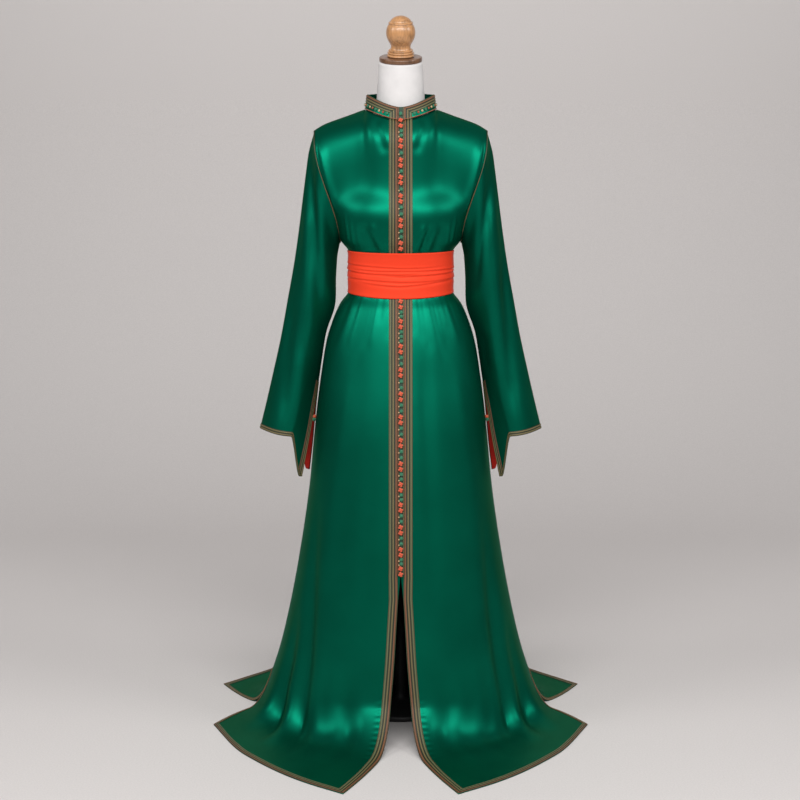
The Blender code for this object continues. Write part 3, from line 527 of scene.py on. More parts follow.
CREASES = {
    "front_left": NECK + UNDER_BUST["front_left"] + SKIRT["front_left"] + gathers(3, 11, 0.05, 0.17),
    "front_right": NECK + UNDER_BUST["front_right"] + SKIRT["front_right"] + gathers(4, 12, 0.05, 0.16),
    "back": UNDER_BUST["back"] + SKIRT["back"] + gathers(8, 12, 0.06, 0.22),
}


def puckers(grid, strength):
    """Short pulls in the cloth beside the front braid, where it is sewn along the opening."""
    along = run_of(grid[:, 0])[:, None]
    steps = np.linalg.norm(np.diff(grid, axis=1), axis=2)
    across = np.concatenate([np.zeros((len(grid), 1)), np.cumsum(steps, axis=1)], axis=1)
    low = smooth_step((SLIT_TOP + 0.04 - grid[:, :1, 2]) / 0.10)
    beside = np.exp(-(((across - BRAID_WIDE - 0.006) / 0.0055) ** 2))
    wave = np.sin(along * 2 * math.pi / 0.017 + 1.3 * np.sin(along * 31.0))
    return strength * low * beside * wave


def draped(kind, count):
    """Grid and outward normals of one half with all its creases, on the +X side."""
    front = kind != "back"
    side = 1.0 if front else -1.0
    grid = relax(body_grid(front, FOLDS[kind], FRONT_HEM if front else BACK_HEM, count), 6)
    norm = normals(grid, side)
    moved = strokes(np.abs(grid[..., 0]), grid[..., 2], CREASES[kind])
    if front:
        moved += puckers(grid, 0.0008)
    # creases stop at the sheet's edges, so that neighbouring pieces still meet
    even = np.linspace(0.0, 1.0, count)
    moved *= (smooth_step(np.minimum((1 - even) / 0.06, 1.0))
              * (1.0 if not front else smooth_step(0.35 + even / 0.10)))
    grid = grid + norm * moved[..., None]
    return grid, normals(grid, side)


surface = {}


def add_piece(key, obj, mat, slot, *nodes):
    obj.data.materials.append(mat)
    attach(obj, "root")
    if nodes:
        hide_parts(*nodes)
    return obj


# ---------------------------------------------------------------- materials
def nodes_of(name):
    m = bpy.data.materials.new(name)
    m.use_nodes = True
    t = m.node_tree
    return m, t, t.nodes["Principled BSDF"]


def noise_node(t, source, scale, detail=3.0, stretch=None):
    n = t.nodes.new("ShaderNodeTexNoise")
    n.inputs["Scale"].default_value = scale
    n.inputs["Detail"].default_value = detail
    if stretch is not None:
        mapping = t.nodes.new("ShaderNodeMapping")
        mapping.inputs["Scale"].default_value = stretch
        t.links.new(source, mapping.inputs["Vector"])
        source = mapping.outputs["Vector"]
    t.links.new(source, n.inputs["Vector"])
    return n


def ramp_node(t, source, stops, constant=False):
    r = t.nodes.new("ShaderNodeValToRGB")
    ramp = r.color_ramp
    ramp.interpolation = "CONSTANT" if constant else "LINEAR"
    while len(ramp.elements) < len(stops):
        ramp.elements.new(0.5)
    for e, (place, colour) in zip(ramp.elements, stops):
        e.position = place
        e.color = (*colour, 1)
    t.links.new(source, r.inputs["Fac"])
    return r


def bump_node(t, b, height, distance, strength):
    n = t.nodes.new("ShaderNodeBump")
    n.inputs["Distance"].default_value = distance
    n.inputs["Strength"].default_value = strength
    t.links.new(height, n.inputs["Height"])
    t.links.new(n.outputs["Normal"], b.inputs["Normal"])


def wave_node(t, source, scale, direction="Y", kind="BANDS", distort=0.0):
    n = t.nodes.new("ShaderNodeTexWave")
    n.wave_type = kind
    n.bands_direction = direction
    n.inputs["Scale"].default_value = scale
    n.inputs["Distortion"].default_value = distort
    n.inputs["Detail"].default_value = 1.0
    t.links.new(source, n.inputs["Vector"])
    return n


def shades(colour, spread):
    dark = tuple(c * (1 - spread) for c in colour)
    light = tuple(min(c * (1 + spread), 1.0) for c in colour)
    return ((0.3, dark), (0.7, light))


def satin(name, colour, rough, metal, specular, spread=0.10):
    """Warp-faced satin: a coloured gloss with hardly any white in it, and a fine warp."""
    m, t, b = nodes_of(name)
    b.inputs["Roughness"].default_value = rough
    b.inputs["Metallic"].default_value = metal
    b.inputs["Specular IOR Level"].default_value = specular
    b.inputs["Specular Tint"].default_value = (*(min(3.0 * c + 0.1, 1.0) for c in colour), 1.0)
    coord = t.nodes.new("ShaderNodeTexCoord")
    soft = noise_node(t, coord.outputs["Object"], 7.0)
    colours = ramp_node(t, soft.outputs["Fac"], shades(colour, spread))
    t.links.new(colours.outputs["Color"], b.inputs["Base Color"])
    warp = noise_node(t, coord.outputs["UV"], 1.0, 2.0, (2600.0, 260.0, 1.0))
    bump_node(t, b, warp.outputs["Fac"], 0.00012, 0.10)
    return m


def striped(name, width, stops, rough=0.60, metal=0.0, twist=0.0032):
    """Corded braid: colour bands across its width, each cord laid with slanting turns; the grooves between the
    turns are darkened in the colour, which is painted shade.
    """
    m, t, b = nodes_of(name)
    b.inputs["Roughness"].default_value = rough
    b.inputs["Metallic"].default_value = metal
    coord = t.nodes.new("ShaderNodeTexCoord")
    split = t.nodes.new("ShaderNodeSeparateXYZ")
    t.links.new(coord.outputs["UV"], split.inputs["Vector"])
    scale = t.nodes.new("ShaderNodeMath")
    scale.operation = "DIVIDE"
    scale.inputs[1].default_value = width
    t.links.new(split.outputs["X"], scale.inputs[0])
    bands = ramp_node(t, scale.outputs["Value"], stops, True)
    slant = t.nodes.new("ShaderNodeMapping")
    slant.inputs["Rotation"].default_value = (0.0, 0.0, math.radians(38.0))
    t.links.new(coord.outputs["UV"], slant.inputs["Vector"])
    turns = wave_node(t, slant.outputs["Vector"], 0.32 / twist)
    thread = noise_node(t, coord.outputs["UV"], 900.0, 2.0)
    # painted shade: the turns' pattern darkens the band colours in the grooves between the turns
    shade = t.nodes.new("ShaderNodeMix")
    shade.data_type = "RGBA"
    shade.blend_type = "MULTIPLY"
    shade.inputs["Factor"].default_value = 0.55
    t.links.new(bands.outputs["Color"], shade.inputs["A"])
    light = ramp_node(t, turns.outputs["Fac"], ((0.0, (0.42, 0.40, 0.38)), (0.8, (1.0, 1.0, 1.0))))
    t.links.new(light.outputs["Color"], shade.inputs["B"])
    t.links.new(shade.outputs["Result"], b.inputs["Base Color"])
    both = t.nodes.new("ShaderNodeMath")
    both.operation = "ADD"
    t.links.new(turns.outputs["Fac"], both.inputs[0])
    t.links.new(thread.outputs["Fac"], both.inputs[1])
    bump_node(t, b, both.outputs["Value"], 0.0004, 0.5)
    return m


def thread_silk(name, colour, rough=0.45, metal=0.1, scale=420.0):
    """Wound or knotted silk cord; the grooves between its windings are darkened in the colour, which is painted
    shade.
    """
    m, t, b = nodes_of(name)
    b.inputs["Roughness"].default_value = rough
    b.inputs["Metallic"].default_value = metal
    b.inputs["Sheen Weight"].default_value = 0.2
    coord = t.nodes.new("ShaderNodeTexCoord")
    wound = wave_node(t, coord.outputs["Object"], scale, "DIAGONAL", "BANDS", 2.0)
    # painted shade: the windings' pattern darkens the colour to 55 % in the grooves
    colours = ramp_node(t, wound.outputs["Fac"], ((0.0, tuple(c * 0.55 for c in colour)), (0.7, colour)))
    t.links.new(colours.outputs["Color"], b.inputs["Base Color"])
    bump_node(t, b, wound.outputs["Fac"], 0.0004, 0.6)
    return m


def wood(name, colour, rough):
    m, t, b = nodes_of(name)
    b.inputs["Roughness"].default_value = rough
    b.inputs["Coat Weight"].default_value = 0.35
    b.inputs["Coat Roughness"].default_value = 0.22
    coord = t.nodes.new("ShaderNodeTexCoord")
    grain = noise_node(t, coord.outputs["Object"], 1.0, 6.0, (260.0, 260.0, 26.0))
    figure = noise_node(t, coord.outputs["Object"], 45.0, 2.0)
    both = t.nodes.new("ShaderNodeMix")
    both.data_type = "FLOAT"
    both.inputs["Factor"].default_value = 0.4
    t.links.new(grain.outputs["Fac"], both.inputs["A"])
    t.links.new(figure.outputs["Fac"], both.inputs["B"])
    colours = ramp_node(t, both.outputs["Result"], (
        (0.30, tuple(c * 0.42 for c in colour)), (0.50, colour), (0.72, tuple(min(c * 1.35, 1) for c in colour))))
    t.links.new(colours.outputs["Color"], b.inputs["Base Color"])
    bump_node(t, b, grain.outputs["Fac"], 0.0003, 0.15)
    return m


def woven(name, colour, rough, scale, distance=0.0003, spread=0.05):
    """Plain weave: crossed threads."""
    m, t, b = nodes_of(name)
    b.inputs["Roughness"].default_value = rough
    b.inputs["Specular IOR Level"].default_value = 0.25
    coord = t.nodes.new("ShaderNodeTexCoord")
    warp = wave_node(t, coord.outputs["UV"], scale, "X", "BANDS", 0.6)
    weft = wave_node(t, coord.outputs["UV"], scale, "Y", "BANDS", 0.6)
    both = t.nodes.new("ShaderNodeMath")
    both.operation = "MULTIPLY"
    t.links.new(warp.outputs["Fac"], both.inputs[0])
    t.links.new(weft.outputs["Fac"], both.inputs[1])
    mottle = noise_node(t, coord.outputs["Object"], 30.0)
    colours = ramp_node(t, mottle.outputs["Fac"], shades(colour, spread))
    t.links.new(colours.outputs["Color"], b.inputs["Base Color"])
    bump_node(t, b, both.outputs["Value"], distance, 0.35)
    return m


def plain(name, colour, rough, scale, distance, spread=0.08):
    m, t, b = nodes_of(name)
    b.inputs["Roughness"].default_value = rough
    coord = t.nodes.new("ShaderNodeTexCoord")
    grain = noise_node(t, coord.outputs["Object"], scale, 4.0)
    colours = ramp_node(t, grain.outputs["Fac"], shades(colour, spread))
    t.links.new(colours.outputs["Color"], b.inputs["Base Color"])
    bump_node(t, b, grain.outputs["Fac"], distance, 0.3)
    return m


RUST = (0.190, 0.075, 0.030)
OLIVE = (0.120, 0.128, 0.054)
GOLD = (0.165, 0.130, 0.050)
SHADOW = (0.012, 0.018, 0.005)
green = satin("green_satin", (0.0010, 0.118, 0.068), 0.395, 0.80, 0.15)
lining = satin("red_lining", (0.400, 0.018, 0.012), 0.42, 0.25, 0.3)
coral = satin("coral_belt", (0.800, 0.052, 0.020), 0.46, 0.10, 0.3, 0.05)
gold_three = striped("gold_braid", BRAID_WIDE, (
    (0.00, RUST), (0.035, SHADOW), (0.08, RUST), (0.25, SHADOW), (0.42, GOLD),
    (0.58, SHADOW), (0.75, OLIVE), (0.93, SHADOW), (0.97, RUST)))
gold_hem = striped("gold_braid_hem", HEM_BRAID, (
    (0.00, SHADOW), (0.08, RUST), (0.24, SHADOW), (0.44, GOLD),
    (0.60, SHADOW), (0.76, OLIVE), (0.92, SHADOW)))
gold_slit = striped("gold_braid_slit", SLIT_BRAID, (
    (0.00, RUST), (0.035, SHADOW), (0.08, GOLD), (0.25, SHADOW), (0.42, GOLD),
    (0.58, SHADOW), (0.75, RUST), (0.92, SHADOW)))
gold_cuff = striped("gold_braid_cuff", SLEEVE_BRAID, (
    (0.00, SHADOW), (0.14, GOLD), (0.38, SHADOW), (0.62, GOLD), (0.86, SHADOW)))
gold_narrow = striped("gold_braid_narrow", BRAID_NARROW, (
    (0.00, RUST), (0.22, SHADOW), (0.34, OLIVE), (0.66, SHADOW), (0.78, RUST)))
piping = striped("rust_piping", PIPING, (
    (0.00, SHADOW), (0.15, OLIVE), (0.38, RUST), (0.66, OLIVE), (0.85, SHADOW)), 0.5, 0.1)
tape_cloth = striped("green_tape", 0.0140, (
    (0.00, RUST), (0.11, SHADOW), (0.20, (0.008, 0.045, 0.022)), (0.80, SHADOW), (0.89, OLIVE)), 0.6, 0.0)
coral_silk = thread_silk("coral_silk", (0.800, 0.115, 0.040))
green_silk = thread_silk("green_cord", (0.022, 0.190, 0.090))
cream_silk = thread_silk("cream_silk", (0.620, 0.420, 0.220))
rust_silk = thread_silk("rust_silk", (0.340, 0.070, 0.020))

# ---------------------------------------------------------------- panels
for kind, count in (("front_left", 100), ("front_right", 100), ("back", 74)):
    grid, norm = draped(kind, count)
    if kind == "front_left":
        grid, norm = mirror(grid), mirror(norm)
    if kind == "back":
        grid = np.concatenate([mirror(grid)[:, :0:-1], grid], axis=1)
        norm = np.concatenate([mirror(norm)[:, :0:-1], norm], axis=1)
    surface[kind] = (grid, norm)
    add_piece(kind, shell("cloth_" + kind, grid, norm, -WALL / 2, WALL / 2), green, "green_satin", kind)


# ---------------------------------------------------------------- braids laid on the panels
def cord_profile(across, width, centres, cord, rise, base):
    """Height of a braid over its ground at each distance across it."""
    high = np.full_like(across, base)
    for c in centres:
        off = np.clip(1.0 - ((across - c * width) / cord) ** 2, 0.0, 1.0)
        high = np.maximum(high, base + rise * np.sqrt(off))
    return high


def band(name, grid, norm, across, along, width, centres, cord, rise=0.0009, lift=0.0):
    """Braid whose points are already on the cloth; across and along are its own distances."""
    low = WALL / 2 + 0.00005 + lift
    high = low + cord_profile(across, width, centres, cord, rise, 0.0006)
    return shell(name, grid, norm, low, high, False, np.stack([across, along], axis=-1))


CORDS_THREE = (0.165, 0.50, 0.84)
STEPS = 25


def front_band(kind):
    """Wide braid down the front edge, mitred where it meets the hem braid."""
    grid, norm = surface[kind]
    count = len(grid)
    rows = np.arange(SLIT_START + 1, dtype=float)
    rows = np.concatenate([rows, np.linspace(SLIT_START + 1, count - 1, 90)])
    u = np.linspace(0.0, BRAID_WIDE, STEPS)
    start = np.array([max(BRAID_IN - opening(grid[min(int(r), count - 1), 0, 2]), 0.0008) for r in rows])
    start[rows > SLIT_START] = 0.0008
    # rows near the hem are drawn up towards the mitre
    down = run_of(grid[:, 0])
    mitre = HEM_BRAID * (u + 0.0008) / BRAID_WIDE
    share = smooth_step((rows - SLIT_START - 20) / (count - 1 - SLIT_START - 20))
    along = np.interp(rows, np.arange(count), down)[:, None] - share[:, None] * mitre[None, :]
    index = np.interp(along, down, np.arange(count))
    g, n = lay(grid, norm, index, start[:, None] + u[None, :])
    across = np.broadcast_to(u, index.shape)
    obj = band("braid_" + kind, g, n, across, along, BRAID_WIDE, CORDS_THREE, 0.0019)
    return add_piece("braid_" + kind, obj, gold_three, "gold_braid", "placket_braid_" + kind[6:])


def from_hem(kind):
    """The panel turned so that its rows are the old columns and distances run up from the hem."""
    grid, norm = surface[kind]
    return grid[::-1].transpose(1, 0, 2), norm[::-1].transpose(1, 0, 2), run_of(grid[-1])


def hem_band(kind, steps=150):
    grid, norm, run = from_hem(kind)
    total = run[-1]
    s = np.linspace(0.0, HEM_BRAID, STEPS)
    first = s / HEM_BRAID * BRAID_WIDE + 0.0008 if kind != "back" else s / HEM_BRAID * BRAID_NARROW
    last = total - s / HEM_BRAID * BRAID_NARROW
    t = np.linspace(0.0, 1.0, steps)
    along = first[None, :] + t[:, None] * (last - first)[None, :]
    index = np.interp(along, run, np.arange(len(run)))
    across = np.broadcast_to(s, index.shape)
    g, n = lay(grid, norm, index, across)
    obj = band("braid_hem_" + kind, g, n, across, along, HEM_BRAID, (0.16, 0.52, 0.84), 0.0018)
    node = "hem_braid_" + kind.replace("front_", "")
    return add_piece("braid_hem_" + kind, obj, gold_hem, "gold_braid", node)


def side_band(kind, far):
    """Narrow braid up the side slit; far says which end of the rows it runs along."""
    grid, norm = surface[kind]
    if not far:
        grid, norm = grid[:, ::-1], norm[:, ::-1]
    count = len(grid)
    down = run_of(grid[:, -1])
    rows = np.linspace(SLIT_START, count - 1, 80)
    u = np.linspace(0.0, BRAID_NARROW, 11)
    share = smooth_step((rows - SLIT_START - 10) / (count - 1 - SLIT_START - 10))
    mitre = HEM_BRAID * u / BRAID_NARROW
    along = np.interp(rows, np.arange(count), down)[:, None] - share[:, None] * mitre[None, :]
    index = np.interp(along, down, np.arange(count))
    totals = np.array([run_of(row)[-1] for row in grid])
    total = np.interp(index, np.arange(count), totals)
    g, n = lay(grid, norm, index, total - u[None, :])
    across = np.broadcast_to(u, index.shape)
    name = "braid_side_" + kind + ("" if kind != "back" else "_right" if far else "_left")
    obj = band(name, g, n, across, along, BRAID_NARROW, (0.10, 0.50, 0.90), 0.0014, 0.0007)
    return add_piece(name, obj, gold_narrow, "gold_braid")


for kind in ("front_left", "front_right"):
    front_band(kind)
    hem_band(kind)
    side_band(kind, True)
hem_band("back", 260)
side_band("back", True)
side_band("back", False)

# ---------------------------------------------------------------- sleeves
SLEEVE_TABLE = smooth_line(SLEEVE, 12)
LEAD = 8                   # rows between the armhole and the first row of the table
SLEEVE_COLS = 52
SLIT_INDEX = LEAD - 1 + SLIT_ROW * 12


def sleeve_side(front, shares):
    """Rows of one side of the sleeve at the given shares from its outer to its inner edge."""
    sign = -1.0 if front else 1.0
    run = run_of(ARM_FINE) / run_of(ARM_FINE)[-1]
    arm = np.stack([np.interp(shares, run, ARM_FINE[:, k]) for k in range(3)], axis=1)
    first = np.column_stack([arm[:, 1], sign * arm[:, 2], arm[:, 0]])
    rows = []
    # at the cuff the hem runs straight, then drops steeply to the point beside the slit
    step = smooth_step((shares - 0.75) / 0.18)
    for k, (ox, oz, ix_front, ix_back, iz, depth, gape, straight, power) in enumerate(SLEEVE_TABLE):
        ix = ix_front if front else ix_back
        square = min(max((k / 12 - 5) / 3.0, 0.0), 1.0)
        drop = (1.0 - square) * shares**power + square * step
        x = ox + (ix - ox) * shares**0.95
        z = oz + (iz - oz) * (straight * shares + (1.0 - straight) * drop)
        # beside the slit the cloth hangs open instead of turning in to the fold
        bulge = np.maximum(np.sin(math.pi * shares), 0.0) ** 0.85
        hung = np.where(shares > 0.75, 0.745 - (shares - 0.75) * 2.76, bulge)
        loose = smooth_step((k / 12 - 5) / 1.6)
        y = depth * ((1 - loose) * bulge + loose * hung) + max(gape, 0.0) * shares**3
        rows.append(np.column_stack([x, sign * y, z]))
    lead = [first + (rows[0] - first) * t for t in np.linspace(0, 1, LEAD)[:-1]]
    return np.array(lead + rows)


def sleeve_sheet(side):
    """Sleeve as one sheet: front slit edge, outer line in the middle, back slit edge."""
    even = np.linspace(0.0, 1.0, SLEEVE_COLS)
    shares = 0.5 * even + 0.25 * (1.0 - np.cos(even * math.pi))
    front = sleeve_side(True, shares)
    back = sleeve_side(False, shares)
    grid = relax(np.concatenate([front[:, ::-1], back[:, 1:]], axis=1), 5)
    norm = normals(grid)
    if norm[40, SLEEVE_COLS - 1, 0] < 0:
        norm = -norm
    other = "right" if side == "left" else "left"
    before = grid[..., 1] < 0
    moved = np.where(before, strokes(grid[..., 0], grid[..., 2], SLEEVE_CREASES[side]),
                     strokes(grid[..., 0], grid[..., 2], SLEEVE_CREASES[other]))
    depth = smooth_step(np.abs(grid[..., 1]) / 0.030)
    lead = smooth_step(np.arange(len(grid)) / 14.0)[:, None]
    grid = grid + norm * (moved * depth * lead)[..., None]
    norm = normals(grid)
    if norm[40, SLEEVE_COLS - 1, 0] < 0:
        norm = -norm
    return grid, norm


def sleeve_band(side, front_edge):
    """Wide braid down one edge of the sleeve's slit, mitred at the hem."""
    grid, norm = surface["sleeve_" + side]
    if not front_edge:
        grid, norm = grid[:, ::-1], norm[:, ::-1]
    count = len(grid)
    down = run_of(grid[:, 0])
    rows = np.linspace(SLIT_INDEX + 1, count - 1, 90)
    u = np.linspace(0.0, SLIT_BRAID, STEPS)
    share = smooth_step((rows - SLIT_INDEX) / (count - 1 - SLIT_INDEX))
    mitre = SLEEVE_BRAID * u / SLIT_BRAID
    along = np.interp(rows, np.arange(count), down)[:, None] - share[:, None] * mitre[None, :]
    index = np.interp(along, down, np.arange(count))
    g, n = lay(grid, norm, index, np.broadcast_to(u + 0.0004, index.shape))
    across = np.broadcast_to(u, index.shape)
    name = "braid_slit_%s_%s" % (side, "front" if front_edge else "back")
    obj = band(name, g, n, across, along, SLIT_BRAID, (0.165, 0.50, 0.835), 0.0017)
    return add_piece(name, obj, gold_slit, "gold_braid")


def cuff_band(side):
    grid, norm, run = from_hem("sleeve_" + side)
    s = np.linspace(0.0, SLEEVE_BRAID, 19)
    first = s / SLEEVE_BRAID * SLIT_BRAID
    t = np.linspace(0.0, 1.0, 150)
    along = first[None, :] + t[:, None] * (run[-1] - 2 * first)[None, :]
    index = np.interp(along, run, np.arange(len(run)))
    across = np.broadcast_to(s, index.shape)
    g, n = lay(grid, norm, index, across)
    obj = band("braid_cuff_" + side, g, n, across, along, SLEEVE_BRAID, (0.26, 0.74), 0.0017)
    return add_piece("braid_cuff_" + side, obj, gold_cuff, "gold_braid", "sleeve_braid_" + side)


def armhole_cord(side):
    grid, norm = surface["sleeve_" + side]
    turned_grid = grid.transpose(1, 0, 2)
    turned_norm = norm.transpose(1, 0, 2)
    index = np.linspace(0.0, len(turned_grid) - 1.0, 150)
    s = np.linspace(0.0003, PIPING, 13)
    rows = np.broadcast_to(index[:, None], (150, 13))
    across = np.broadcast_to(s, rows.shape)
    g, n = lay(turned_grid, turned_norm, rows, across)
    along = np.broadcast_to(run_of(g[:, 6])[:, None], rows.shape)
    obj = band("piping_" + side, g, n, across, along, PIPING, (0.5,), 0.0021, 0.0014)
    return add_piece("piping_" + side, obj, piping, "rust_piping", "armhole_piping_" + side)


def facing(side):
    """Red lining inside the back half of the sleeve beside its slit."""
    grid, norm = surface["sleeve_" + side]
    grid, norm = grid[:, ::-1], norm[:, ::-1]
    rows = np.linspace(SLIT_INDEX - 14, len(grid) - 1, 60)
    t = np.linspace(0.0, 1.0, 30)
    totals = np.array([run_of(row)[-1] for row in grid])
    wide = 0.30 * np.interp(rows, np.arange(len(grid)), totals)
    index = np.broadcast_to(rows[:, None], (60, 30))
    g, n = lay(grid, norm, index, 0.0003 + t[None, :] * wide[:, None])
    obj = shell("facing_" + side, g, n, -WALL / 2 - 0.0010, -WALL / 2 - 0.0001)
    return add_piece("facing_" + side, obj, lining, "red_lining", "sleeve_facing_" + side)


for side in ("right", "left"):
    grid, norm = sleeve_sheet(side)
    if side == "left":
        grid, norm = mirror(grid), mirror(norm)
    surface["sleeve_" + side] = (grid, norm)
    sleeve = shell("cloth_sleeve_" + side, grid, norm, -WALL / 2, WALL / 2)
    add_piece("sleeve_" + side, sleeve, green, "green_satin", "sleeve_" + side)
    sleeve_band(side, True)
    sleeve_band(side, False)
    cuff_band(side)
    armhole_cord(side)
    facing(side)


# ---------------------------------------------------------------- collar
COLLAR_EDGE = BRAID_IN - 0.001


def collar_grid():
    """Stand collar, from one front edge round the back to the other; rows run from base to top."""
    a = np.radians(np.linspace(0.0, 180.0, 361))
    front = np.cos(a) > 0
    base = np.where(front, 1.415, 1.452)
    base = base + (1.441 - base) * np.sin(a) ** 1.6
    crest = np.where(front, 1.446, 1.484)
    crest = crest + (1.477 - crest) * np.sin(a) ** 1.6
    low = np.where(front, 0.078, 0.070)
    high = np.where(front, 0.070, 0.064)
    rows = []
    for up in np.linspace(0.0, 1.0, 20):
        rx = 0.0825 + (0.0775 - 0.0825) * up
        ry = low + (high - low) * up
        z = base + 0.0016 + (crest - base - 0.0016) * up
        line = cut_at(np.column_stack([rx * np.sin(a), -ry * np.cos(a), z]), GAP / 2)
        half = at_length(line, np.linspace(0.0, run_of(line)[-1], 91))
        rows.append(np.vstack([mirror(half), half[-2::-1]]))
    grid = np.array(rows)
    norm = normals(grid)
    norm[..., 2] *= 0.3
    norm = unit(norm)
    return grid, -norm if norm[0, 20, 0] > 0 else norm


collar, n_collar = collar_grid()
add_piece("collar", shell("cloth_collar", collar, n_collar, -0.0008, 0.0008),
          green, "green_satin", "collar")
TOP_BAND = 0.0180


def collar_upright(flip):
    grid, norm = (collar[:, ::-1], n_collar[:, ::-1]) if flip else (collar, n_collar)
    u = np.linspace(0.0, BRAID_WIDE, STEPS)
    up = run_of(grid[:, 6])
    t = np.linspace(0.0, 1.0, 24)
    ends = up[-1] - 0.0006 - u / BRAID_WIDE * TOP_BAND
    along = t[:, None] * ends[None, :]
    index = np.interp(along, up, np.arange(len(grid)))
    across = np.broadcast_to(u, index.shape)
    g, n = lay(grid, norm, index, across + COLLAR_EDGE)
    label = "right" if flip else "left"
    obj = band("braid_collar_" + label, g, n, across, along,
               BRAID_WIDE, CORDS_THREE, 0.0019, 0.0009, 0.0001)
    return add_piece(obj.name, obj, gold_three, "gold_braid")


def collar_top():
    grid = collar[::-1].transpose(1, 0, 2)
    norm = n_collar[::-1].transpose(1, 0, 2)
    run = run_of(collar[-1])
    s = np.linspace(0.0, TOP_BAND, STEPS)
    first = COLLAR_EDGE + s / TOP_BAND * BRAID_WIDE
    t = np.linspace(0.0, 1.0, 220)
    along = first[None, :] + t[:, None] * (run[-1] - 2 * first)[None, :]
    index = np.interp(along, run, np.arange(len(run)))
    across = np.broadcast_to(s, index.shape)
    g, n = lay(grid, norm, index, across + 0.0006)
    wide = across / TOP_BAND * BRAID_WIDE
    obj = band("braid_collar", g, n, wide, along, BRAID_WIDE, CORDS_THREE, 0.0020, 0.0009, 0.0001)
    return add_piece("braid_collar", obj, gold_three, "gold_braid", "collar_braid")


def tube(name, path, radius, around=8):
    """Closed tube along a path."""
    path = np.asarray(path)
    along = unit(np.gradient(path, axis=0))
    side = unit(np.cross(along, np.array([0.0, 0.0, 1.0]) + 1e-6))
    up = np.cross(side, along)
    a = np.linspace(0.0, 2 * math.pi, around, endpoint=False)
    rings = path[:, None] + radius * (
        side[:, None] * np.cos(a)[None, :, None] + up[:, None] * np.sin(a)[None, :, None])
    return rings_object(name, rings)


def rings_object(name, rings, smooth=True):
    """Closed solid through rings of equal length, capped at both ends."""
    count, n = rings.shape[:2]
    verts = rings.reshape(-1, 3)
    ids = np.arange(count * n).reshape(count, n)
    nxt = np.roll(ids, -1, axis=1)
    faces = np.stack([ids[:-1], nxt[:-1], nxt[1:], ids[1:]], axis=-1).reshape(-1, 4).tolist()
    verts = np.vstack([verts, rings[0].mean(axis=0), rings[-1].mean(axis=0)])
    for k in range(n):
        faces.append([ids[0, (k + 1) % n], ids[0, k], count * n])
        faces.append([ids[-1, k], ids[-1, (k + 1) % n], count * n + 1])
    # distances round and along, for the weave
    step = run_of(rings[:, 0])
    round_0 = np.linspace(0.0, 1.0, n, endpoint=False) * 0.6
    uv = np.stack(np.broadcast_arrays(round_0[None, :], step[:, None]), axis=-1).reshape(-1, 2)
    uv = np.vstack([uv, [0, 0], [0, step[-1]]])
    middle = rings[count // 2].mean(axis=0)
    a, b, c = (verts[faces[(count // 2) * n][k]] for k in range(3))
    if np.dot(np.cross(b - a, c - a), a - middle) < 0:
        faces = [f[::-1] for f in faces]
    return mesh_object(name, verts, faces, uv, smooth)


collar_upright(False)
collar_upright(True)
collar_top()
base_line = collar[1] + n_collar[1] * 0.0012
add_piece("collar_cord", tube("cord_collar_base", base_line[4:-4], 0.0010), rust_silk, "rust_piping")


# ---------------------------------------------------------------- knots and beads
def ball(centre, axes, sizes, n=12, m=8):
    """Vertices and faces of one ellipsoid; axes are three unit vectors."""
    verts = [centre + axes[2] * sizes[2]]
    for i in range(1, m):
        a = math.pi * i / m
        for j in range(n):
            b = 2 * math.pi * j / n
            verts.append(centre + axes[0] * (sizes[0] * math.sin(a) * math.cos(b))
                          + axes[1] * (sizes[1] * math.sin(a) * math.sin(b))
                          + axes[2] * (sizes[2] * math.cos(a)))
    verts.append(centre - axes[2] * sizes[2])
    last = len(verts) - 1
    faces = []
    for j in range(n):
        k = (j + 1) % n
        faces.append([0, 1 + j, 1 + k])
        for i in range(m - 2):
            faces.append([1 + i * n + j, 1 + (i + 1) * n + j, 1 + (i + 1) * n + k, 1 + i * n + k])
        faces.append([last, 1 + (m - 2) * n + k, 1 + (m - 2) * n + j])
    return verts, faces


def balls(name, spots):
    """Many ellipsoids joined in one mesh; each spot is (centre, axes, sizes)."""
    verts = []
    faces = []
    for centre, axes, sizes in spots:
        v, f = ball(centre, axes, sizes)
        faces += [[k + len(verts) for k in face] for face in f]
        verts += v
    return mesh_object(name, np.array(verts), faces)


centre = (surface["front_left"][0][:, 0] + surface["front_right"][0][:, 0]) / 2
n_centre = unit(
    (surface["front_left"][1][:, 0] + surface["front_right"][1][:, 0]) * np.array([0.0, 1.0, 1.0]))
X_AXIS = np.array([1.0, 0.0, 0.0])


def on_centre(z):
    """Point, normal and downward direction of the front's centre line at one height."""
    zs = centre[::-1, 2]
    point = np.array([np.interp(z, zs, centre[::-1, k]) for k in range(3)])
    norm = unit(np.array([np.interp(z, zs, n_centre[::-1, k]) for k in range(3)]))
    return point, norm, np.cross(X_AXIS, norm)


def button(name, z):
    """Pair of silk knots: each has four lobes round a raised middle."""
    spots = []
    for off in (-0.0064, 0.0064):
        point, norm, down = on_centre(z + off)
        frame_axes = (X_AXIS, down, norm)
        seat = point + norm * 0.0046
        for sx, sz in ((-1, 0.35), (1, -0.35), (-0.35, -1), (0.35, 1)):
            place = seat + X_AXIS * 0.0029 * sx + down * 0.0033 * sz
            spots.append((place, frame_axes, (0.0030, 0.0027, 0.0030)))
        spots.append((seat + norm * 0.0014, frame_axes, (0.0026, 0.0024, 0.0028)))
    return balls(name, spots)


